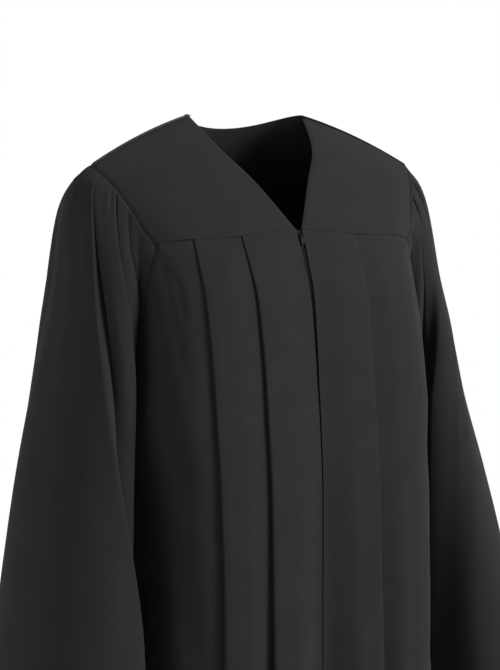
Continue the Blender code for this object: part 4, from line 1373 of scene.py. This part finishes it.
def cloth_material(name, colour, threads, sheen, roughness=0.86):
    """Woven black cloth on the piece's own UV lengths."""
    material = bpy.data.materials.get(name)
    if material:
        return material
    material, tree, shader = new_material(name)
    shader.inputs["Roughness"].default_value = roughness
    shader.inputs["Specular IOR Level"].default_value = 0.16
    shader.inputs["Sheen Weight"].default_value = sheen
    shader.inputs["Sheen Roughness"].default_value = 0.5
    shader.inputs["Sheen Tint"].default_value = (0.62, 0.63, 0.68, 1)
    uv = add_node(tree, "ShaderNodeUVMap")
    uv.uv_map = "cloth"
    weave = tree.nodes.new("ShaderNodeGroup")
    weave.node_tree = weave_group()
    weave.inputs["Threads"].default_value = threads
    weave.inputs["Slub"].default_value = 0.6
    tree.links.new(uv.outputs["UV"], weave.inputs["Vector"])
    add_tone(tree, weave.outputs["Shade"], colour, (0.88, 1.14), (0.30, 0.70), shader)
    add_bump(tree, weave.outputs["Height"], 0.35, 0.00012, shader)
    return material


def robe_material():
    settings = bpy.context.scene.robe_cloth
    return cloth_material("black robe cloth", settings.colour, settings.threads, settings.sheen)


def finish_cloth(piece, node, flat, area):
    """Hang a cloth piece on the robe in place of its CAD solid."""
    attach(piece, "robe")
    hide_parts(node)


def hang_panel(settings, node, points, turn, flat_rows, closed=False):
    """A hanging panel whose hem is turned up inside and stitched along a faint line outside."""
    out = grid_directions(points, closed, turn, flat_rows=flat_rows)
    _, down = cloth_lengths(points)
    from_stitch = down[-1:] - down - settings.hem + STITCH_DROP
    groove = np.exp(-((from_stitch / STITCH_SPREAD) ** 2)) * STITCH_DEPTH
    points = points - out * groove[..., None]
    _, down = cloth_lengths(points)
    layer = np.clip((settings.hem - down[-1:] + down) / HEM_STEP, 0, 1) * settings.wall * HEM_LAYER
    return make_cloth(f"{node}_cloth", points, out, settings.wall, layer, robe_material(), closed)


class ROBE_OT_fronts(bpy.types.Operator):
    """Make the two pleated fronts"""

    bl_idname = "robe.make_fronts"
    bl_label = "Fronts"

    def execute(self, context):
        settings = context.scene.robe_cloth
        for side in ("left", "right"):
            points = np.array(front_grid(side, settings))
            piece = hang_panel(settings, f"front_{side}", points, 1, (0, -1))
            finish_cloth(piece, f"front_{side}", (0.52, 1.08), 0.50)
        return {"FINISHED"}


class ROBE_OT_back(bpy.types.Operator):
    """Make the pleated back"""

    bl_idname = "robe.make_back"
    bl_label = "Back"

    def execute(self, context):
        settings = context.scene.robe_cloth
        piece = hang_panel(settings, "back", np.array(back_grid(settings)), 1, (0, -1))
        finish_cloth(piece, "back", (0.95, 1.07), 0.88)
        return {"FINISHED"}


class ROBE_OT_yokes(bpy.types.Operator):
    """Make the front yokes and the back yoke"""

    bl_idname = "robe.make_yokes"
    bl_label = "Yokes"

    def execute(self, context):
        settings = context.scene.robe_cloth
        front = front_yoke_grid()
        pieces = (
            ("yoke_front_left", front, (0.19, 0.17), 0.026),
            ("yoke_front_right", mirrored(front), (0.19, 0.17), 0.026),
            ("yoke_back", back_yoke_grid(), (0.43, 0.17), 0.067),
        )
        for node, grid, flat, area in pieces:
            points = np.array([[tuple(point) for point in row] for row in grid])
            if node == "yoke_back":
                points = smoothed(points, False, BACK_YOKE_PASSES)
            out = grid_directions(points, False, 1, flat_rows=(-1,), seam_rows=(0,))
            points = self.shaped(points, out, settings)
            points, out = self.with_allowance(points, out, node == "yoke_back")
            extra = np.zeros(points.shape[:2])
            piece = make_cloth(f"{node}_cloth", points, out, settings.wall, extra, robe_material())
            finish_cloth(piece, node, flat, area)
        return {"FINISHED"}

    def with_allowance(self, points, out, under_shoulder):
        """The yoke turned in behind the pleats, and the back yoke in behind the shoulder seam."""
        foot, foot_out = points[-1], out[-1]
        turned = []
        for share, drop in YOKE_ALLOWANCE_STEPS:
            turned.append(foot - foot_out * ALLOWANCE_INSIDE * share - np.array((0, 0, drop)))
        points = np.concatenate([points, turned])
        out = np.concatenate([out, [foot_out] * len(turned)])
        if under_shoulder:
            head = points[0]
            seam = np.abs(head[:, :1]) >= NECK_HALF_WIDTH - 0.001
            forward = np.where(seam, SHOULDER_ALLOWANCE, NAPE_ALLOWANCE)
            points = np.concatenate([(head + forward)[None], points])
            out = np.concatenate([out[:1], out])
        return points, out

    def shaped(self, points, out, settings):
        """The yoke's seams drawn in a little, and its surface softly uneven."""
        across, down = cloth_lengths(points)
        from_foot = down[-1:] - down
        from_side = across[:, -1:] - np.abs(across)
        rise = -YOKE_FOOT_PRESS * np.exp(-((from_foot / YOKE_FOOT_STRIP) ** 2))
        rise -= YOKE_HEAD_PRESS * np.exp(-((down / YOKE_HEAD_STRIP) ** 2))
        rise -= SEAM_ROLL * np.exp(-((from_side / SEAM_STRIP) ** 2))
        amount = settings.slub * YOKE_UNEVENNESS
        for row, column in np.ndindex(rise.shape):
            fade = ease(min(down[row, column], from_foot[row, column]) / YOKE_EVEN_EDGE)
            x, y, z = points[row, column]
            rise[row, column] += fade * soft_unevenness(x, z + y, SEEDS["yoke", "both"], amount)
        return points + out * rise[..., None]


class ROBE_OT_sleeves(bpy.types.Operator):
    """Make the two bell sleeves"""

    bl_idname = "robe.make_sleeves"
    bl_label = "Sleeves"

    def execute(self, context):
        settings = context.scene.robe_cloth
        for side in ("left", "right"):
            grid = sleeve_grid(side, settings)
            points = np.array([[tuple(point) for point in row] for row in grid])
            points = smoothed(points, True, SLEEVE_PASSES, first_row=4)
            turn = -1 if side == "left" else 1
            piece = hang_panel(settings, f"sleeve_{side}", points, turn, (-1,), closed=True)
            finish_cloth(piece, f"sleeve_{side}", (0.66, 0.64), 0.31)
        return {"FINISHED"}


def tape_grid():
    """The zip tape behind the left front's edge, on the same sections as the front."""
    grid = []
    for height in body_heights():
        if height < ZIP_END_HEIGHT:
            break
        row, quarter, start, folds, _ = body_half(height, True)
        crest = folds[0] - row.fold_depth - row.fold_pitch
        drop = SEAM_CORNER - height
        lift = FRONT_SEAM_MIDDLE - TAPE_BELOW_SEAM - SEAM_CORNER
        level = height + lift * max(1 - drop / SEAM_SLOPE_DROP, 0.0) ** 2
        line = []
        for step in range(TAPE_STEPS + 1):
            along = quarter.length_at_x(TAPE_FIRST_X + TAPE_WIDTH * step / TAPE_STEPS)
            part = ease((along - start) / (crest - start)) * TAPE_FOLLOW
            out = (2 * row.fold_pitch + row.centre_dip) * part - row.centre_dip
            across, reach = quarter.place(along, out - TAPE_BEHIND)
            line.append((across, -reach, level))
        grid.append(line)
    return grid


class ROBE_OT_tapes(bpy.types.Operator):
    """Make the zip's two tapes"""

    bl_idname = "robe.make_tapes"
    bl_label = "Zip tapes"

    def execute(self, context):
        settings = context.scene.robe_zip
        material = cloth_material("black zip tape", settings.tape_colour, 1800.0, 0.05, 0.8)
        left = tape_grid()
        for side, grid in (("left", left), ("right", mirrored(left))):
            points = np.array(grid)
            out = grid_directions(points, False, 1)
            extra = np.zeros(points.shape[:2])
            wall = TAPE_WALL * 0.8
            piece = make_cloth(f"zip_tape_{side}_cloth", points, out, wall, extra, material)
            finish_cloth(piece, f"zip_tape_{side}", (0.013, 0.622), None)
        return {"FINISHED"}


def chest_frame():
    """The slider's seat: a point on the fronts' middle line, the way down it and the way out."""
    top, below = BODY_TABLE.at(BODY_OVALS[0][0]), BODY_TABLE.at(BODY_OVALS[1][0])
    start = Vector((0, -top.front_reach, FRONT_SEAM_MIDDLE))
    down = (Vector((0, -below.front_reach, below.height)) - start).normalized()
    out = Vector((0, down.z, -down.y))
    seat = start + down * ((SLIDER_TOP - start.z) / down.z)
    return seat, down, out


def set_in_place(piece, origin, down, out):
    """Lay a piece that was modelled flat (its length along -Y) on the chest, and apply its place."""
    across = Vector((1, 0, 0))
    matrix = Matrix((across, -down, out)).transposed().to_4x4()
    matrix.translation = origin
    piece.matrix_world = matrix @ piece.matrix_world
    select_only(piece)
    bpy.ops.object.transform_apply(location=True, rotation=True, scale=True)


def stretched(scale):
    """The active object, scaled and with its place and size applied."""
    piece = bpy.context.active_object
    piece.scale = scale
    bpy.ops.object.transform_apply(location=True, rotation=True, scale=True)
    return piece


def select_only(*pieces):
    bpy.ops.object.select_all(action="DESELECT")
    for piece in pieces:
        piece.select_set(True)
    bpy.context.view_layer.objects.active = pieces[0]


def pick_vertices(piece, test):
    """Enter edit mode with only the vertices selected that pass a test of their place."""
    bpy.ops.object.mode_set(mode="EDIT")
    bpy.ops.mesh.select_mode(type="VERT")
    bpy.ops.mesh.select_all(action="DESELECT")
    bpy.ops.object.mode_set(mode="OBJECT")
    for vertex in piece.data.vertices:
        vertex.select = test(vertex.co)
    bpy.ops.object.mode_set(mode="EDIT")


def shaped_block(name, length, half_width, low, high, row_widths):
    """A block whose rows along its length have their own widths."""
    bpy.ops.mesh.primitive_cube_add(size=1, location=(0, -length / 2, (low + high) / 2))
    piece = stretched((half_width * 2, length, high - low))
    piece.name = name
    steps = len(row_widths) - 1
    bpy.ops.object.mode_set(mode="EDIT")
    bpy.ops.mesh.select_all(action="SELECT")
    bpy.ops.mesh.subdivide(number_cuts=steps - 1)
    bpy.ops.object.mode_set(mode="OBJECT")
    for index, share in enumerate(row_widths):
        level = -length * index / steps
        pick_vertices(piece, lambda place: abs(place.y - level) < length / steps / 4)
        bpy.ops.transform.resize(value=(share, 1, 1), center_override=(0, level, 0))
        bpy.ops.object.mode_set(mode="OBJECT")
    return piece


def round_edges(piece, width, segments=3):
    bevel = piece.modifiers.new("rounding", "BEVEL")
    bevel.width = width
    bevel.segments = segments
    bevel.limit_method = "ANGLE"
    bevel.angle_limit = math.radians(35)
    select_only(piece)
    bpy.ops.object.modifier_apply(modifier=bevel.name)
    bpy.ops.object.shade_smooth_by_angle(angle=math.radians(40))


def cut_with(piece, cutter):
    cut = piece.modifiers.new("cut", "BOOLEAN")
    cut.operation = "DIFFERENCE"
    cut.solver = "EXACT"
    cut.object = cutter
    select_only(piece)
    bpy.ops.object.modifier_apply(modifier=cut.name)
    bpy.data.objects.remove(cutter, do_unlink=True)


def cut_oval(piece, radius, depth, place, stretch):
    """Cut an upright oval out of a piece."""
    bpy.ops.mesh.primitive_cylinder_add(vertices=32, radius=radius, depth=depth, location=place)
    cut_with(piece, stretched(stretch))


def metal_material():
    """Black enamel over cast zinc, a little uneven in its gloss."""
    name = "black zip enamel"
    material = bpy.data.materials.get(name)
    if material:
        return material
    material, tree, shader = new_material(name)
    shader.inputs["Specular IOR Level"].default_value = 0.02
    place = add_node(tree, "ShaderNodeTexCoord")
    grain = add_node(tree, "ShaderNodeTexNoise", Scale=900.0, Detail=3.0)
    tree.links.new(place.outputs["Object"], grain.inputs["Vector"])
    gloss = add_node(tree, "ShaderNodeMapRange")
    gloss.inputs["To Min"].default_value = 0.26
    gloss.inputs["To Max"].default_value = 0.36
    tree.links.new(grain.outputs["Fac"], gloss.inputs["Value"])
    tree.links.new(gloss.outputs["Result"], shader.inputs["Roughness"])
    colour = bpy.context.scene.robe_zip.metal_colour
    add_tone(tree, grain.outputs["Fac"], colour, (0.8, 1.3), (0.0, 1.0), shader)
    add_bump(tree, grain.outputs["Fac"], 0.3, 0.00003, shader)
    return material


class ROBE_OT_teeth(bpy.types.Operator):
    """Make the zip's teeth and its end stop"""

    bl_idname = "robe.make_teeth"
    bl_label = "Zip teeth"

    def execute(self, context):
        settings = context.scene.robe_zip
        seat, down, out = chest_frame()
        for side, sign in (("left", 1), ("right", -1)):
            tooth = shaped_block(
                "tooth", TOOTH_LENGTH, TOOTH_HALF_WIDTH, -TOOTH_HALF_DEPTH, TOOTH_HALF_DEPTH, TOOTH_ROWS,
            )
            round_edges(tooth, TOOTH_ROUNDING, 1)
            tooth.data.materials.append(metal_material())
            teeth = []
            height = SLIDER_TOP - TEETH_BELOW_SLIDER - (settings.tooth_pitch / 2 if sign < 0 else 0)
            while height > ZIP_END_HEIGHT + TEETH_ABOVE_END:
                if height > BODY_OVALS[1][0]:
                    centre = seat + down * ((height - seat.z) / down.z) - out * TAPE_BEHIND
                else:
                    row = BODY_TABLE.at(height)
                    centre = Vector((0, row.centre_dip + TAPE_BEHIND - row.front_reach, height))
                copy = bpy.data.objects.new("tooth", tooth.data.copy())
                context.scene.collection.objects.link(copy)
                copy.rotation_euler.x = math.pi / 2
                copy.location = centre + Vector((sign * TOOTH_FROM_MIDDLE, 0, TOOTH_LENGTH / 2))
                teeth.append(copy)
                height -= settings.tooth_pitch
            bpy.data.objects.remove(tooth, do_unlink=True)
            context.view_layer.update()
            select_only(*teeth)
            bpy.ops.object.join()
            bpy.ops.object.transform_apply(location=True, rotation=True, scale=True)
            piece = context.active_object
            piece.name = f"zip_teeth_{side}"
            piece.data.name = piece.name
            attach(piece, "robe")
        row = BODY_TABLE.at(ZIP_END_HEIGHT)
        stop = shaped_block(
            "zip_end_stop", STOP_LENGTH, STOP_HALF_WIDTH, -STOP_HALF_DEPTH, STOP_HALF_DEPTH, STOP_ROWS,
        )
        round_edges(stop, STOP_ROUNDING, 2)
        reach = row.front_reach - row.centre_dip - TAPE_BEHIND
        seat = Vector((0, -reach, ZIP_END_HEIGHT + STOP_ABOVE_END))
        set_in_place(stop, seat, Vector((0, 0, -1)), Vector((0, -1, 0)))
        stop.data.materials.append(metal_material())
        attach(stop, "robe")
        return {"FINISHED"}


class ROBE_OT_slider(bpy.types.Operator):
    """Make the zip's slider with its arch"""

    bl_idname = "robe.make_slider"
    bl_label = "Zip slider"

    def execute(self, context):
        seat, down, out = chest_frame()
        body = shaped_block(
            "zip_slider_enamel", SLIDER_LENGTH, SLIDER_HALF_WIDTH, SLIDER_UNDER, SLIDER_OVER, SLIDER_ROWS,
        )
        for side in (-1, 1):
            bpy.ops.mesh.primitive_cube_add(
                size=1, location=(side * SLIDER_HALF_WIDTH * 1.05, -SLIDER_LENGTH / 2, 0.0002),
            )
            cut_with(body, stretched(SLIDER_SLOT))
        round_edges(body, 0.00028)
        bpy.ops.mesh.primitive_torus_add(
            location=(0, 0, 0), rotation=(0, math.radians(90), 0), major_segments=40, minor_segments=12,
            major_radius=ARCH_HALF_LENGTH - ARCH_BAND / 2, minor_radius=ARCH_BAND,
        )
        arch = context.active_object
        bpy.ops.object.transform_apply(location=True, rotation=True, scale=True)
        bpy.ops.object.mode_set(mode="EDIT")
        bpy.ops.mesh.select_all(action="SELECT")
        bpy.ops.mesh.bisect(plane_co=(0, 0, -0.0002), plane_no=(0, 0, 1), use_fill=True, clear_inner=True)
        bpy.ops.object.mode_set(mode="OBJECT")
        arch.scale = (0.9, 1, ARCH_RISE / (ARCH_HALF_LENGTH + ARCH_BAND / 2))
        arch.location = (0, -ARCH_PLACE, SLIDER_OVER)
        select_only(arch)
        bpy.ops.object.transform_apply(location=True, rotation=True, scale=True)
        bpy.ops.object.shade_smooth_by_angle(angle=math.radians(40))
        select_only(body, arch)
        bpy.ops.object.join()
        set_in_place(body, seat, down, out)
        body.data.materials.append(metal_material())
        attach(body, "robe")
        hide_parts("zip_slider")
        return {"FINISHED"}


class ROBE_OT_tab(bpy.types.Operator):
    """Make the zip's pull tab"""

    bl_idname = "robe.make_tab"
    bl_label = "Zip pull tab"

    def execute(self, context):
        seat, down, out = chest_frame()
        pivot = seat + down * ARCH_PLACE + out * TAB_PIVOT_RISE
        lie = (down * math.cos(TAB_REST_TILT) - out * math.sin(TAB_REST_TILT)).normalized()
        lift = (out * math.cos(TAB_REST_TILT) + down * math.sin(TAB_REST_TILT)).normalized()
        half = TAB_THICKNESS / 2
        tab = shaped_block(
            "zip_pull_tab_enamel", TAB_LENGTH + TAB_BAR / 2, TAB_HALF_WIDTH, -half, half, TAB_ROWS,
        )
        cut_oval(tab, WINDOW_RADIUS, 0.004, (0, -TAB_BAR - WINDOW_PLACE, 0), WINDOW_STRETCH)
        cut_oval(tab, DIMPLE_RADIUS, 0.0006, (0, -DIMPLE_PLACE, half + DIMPLE_SINK), DIMPLE_STRETCH)
        round_edges(tab, 0.00016)
        set_in_place(tab, pivot - lie * TAB_BAR / 2, lie, lift)
        tab.data.materials.append(metal_material())
        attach(tab, "pull_tab")
        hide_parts("zip_pull_tab")
        return {"FINISHED"}


class ROBE_OT_stage(bpy.types.Operator):
    """Make the floor, the lights and the camera"""

    bl_idname = "robe.make_stage"
    bl_label = "Stage"

    def execute(self, context):
        settings = context.scene.robe_stage
        context.scene.view_settings.view_transform = "Standard"
        bpy.ops.mesh.primitive_circle_add(
            vertices=96, radius=FLOOR_RADIUS, fill_type="NGON", location=(0, 0, settings.floor_height),
        )
        floor = context.active_object
        floor.name = "floor"
        paint, _, shader = new_material("pale floor")
        shader.inputs["Base Color"].default_value = (0.86, 0.86, 0.85, 1)
        shader.inputs["Roughness"].default_value = 0.9
        floor.data.materials.append(paint)

        world = bpy.data.worlds.new("studio")
        world.use_nodes = True
        tree = world.node_tree
        light_path = tree.nodes.new("ShaderNodeLightPath")
        strength = tree.nodes.new("ShaderNodeMix")
        strength.inputs["A"].default_value = settings.sky
        strength.inputs["B"].default_value = 1.0
        tree.links.new(light_path.outputs["Is Camera Ray"], strength.inputs["Factor"])
        backdrop = tree.nodes["Background"]
        backdrop.inputs["Color"].default_value = (1, 1, 1, 1)
        tree.links.new(strength.outputs["Result"], backdrop.inputs["Strength"])
        context.scene.world = world

        self.area_light(context, "key", KEY_LIGHT, settings.key)
        self.area_light(context, "side fill", SIDE_LIGHT, settings.fill)

        offset = Vector((
            math.sin(CAMERA_AZIMUTH) * math.cos(CAMERA_ELEVATION),
            -math.cos(CAMERA_AZIMUTH) * math.cos(CAMERA_ELEVATION),
            math.sin(CAMERA_ELEVATION),
        ))
        bpy.ops.object.camera_add(location=Vector(CAMERA_AIM) + offset * CAMERA_DISTANCE)
        camera = context.active_object
        camera.name = "camera"
        camera.rotation_euler = (-offset).to_track_quat("-Z", "Y").to_euler()
        camera.data.lens = settings.lens
        camera.data.sensor_width = 36
        camera.data.shift_x = CAMERA_SHIFT
        camera.data.clip_end = 30
        context.scene.camera = camera
        return {"FINISHED"}

    def area_light(self, context, name, setting, power):
        place, target, size = setting
        bpy.ops.object.light_add(type="AREA", location=place)
        light = context.active_object
        light.name = name
        light.data.size = size
        light.data.energy = power
        aim = Vector(target) - Vector(place)
        light.rotation_euler = aim.to_track_quat("-Z", "Y").to_euler()


class ROBE_PT_panel(bpy.types.Panel):
    """The robe's pieces in the order in which they are made"""

    bl_idname = "ROBE_PT_panel"
    bl_label = "Choir Robe"
    bl_space_type = "VIEW_3D"
    bl_region_type = "UI"
    bl_category = "Robe"

    def draw(self, context):
        for settings in (context.scene.robe_cloth, context.scene.robe_zip, context.scene.robe_stage):
            for name in settings.__annotations__:
                self.layout.prop(settings, name)
        for operator in OPERATORS:
            self.layout.operator(operator.bl_idname)


OPERATORS = (
    ROBE_OT_fronts, ROBE_OT_back, ROBE_OT_yokes, ROBE_OT_sleeves, ROBE_OT_tapes,
    ROBE_OT_teeth, ROBE_OT_slider, ROBE_OT_tab, ROBE_OT_stage,
)
SETTINGS = (("robe_cloth", RobeCloth), ("robe_zip", RobeZip), ("robe_stage", RobeStage))


def register():
    for name, kind in SETTINGS:
        bpy.utils.register_class(kind)
        setattr(bpy.types.Scene, name, bpy.props.PointerProperty(type=kind))
    for kind in OPERATORS + (ROBE_PT_panel,):
        bpy.utils.register_class(kind)


def unregister():
    for kind in reversed(OPERATORS + (ROBE_PT_panel,)):
        bpy.utils.unregister_class(kind)
    for name, kind in reversed(SETTINGS):
        delattr(bpy.types.Scene, name)
        bpy.utils.unregister_class(kind)


def main():
    register()
    bpy.ops.object.select_all(action="DESELECT")
    bpy.ops.robe.make_fronts()
    bpy.ops.robe.make_back()
    bpy.ops.robe.make_yokes()
    bpy.ops.robe.make_sleeves()
    bpy.ops.robe.make_tapes()
    bpy.ops.robe.make_teeth()
    bpy.ops.robe.make_slider()
    bpy.ops.robe.make_tab()
    bpy.ops.robe.make_stage()


if __name__ == "__main__":
    main()
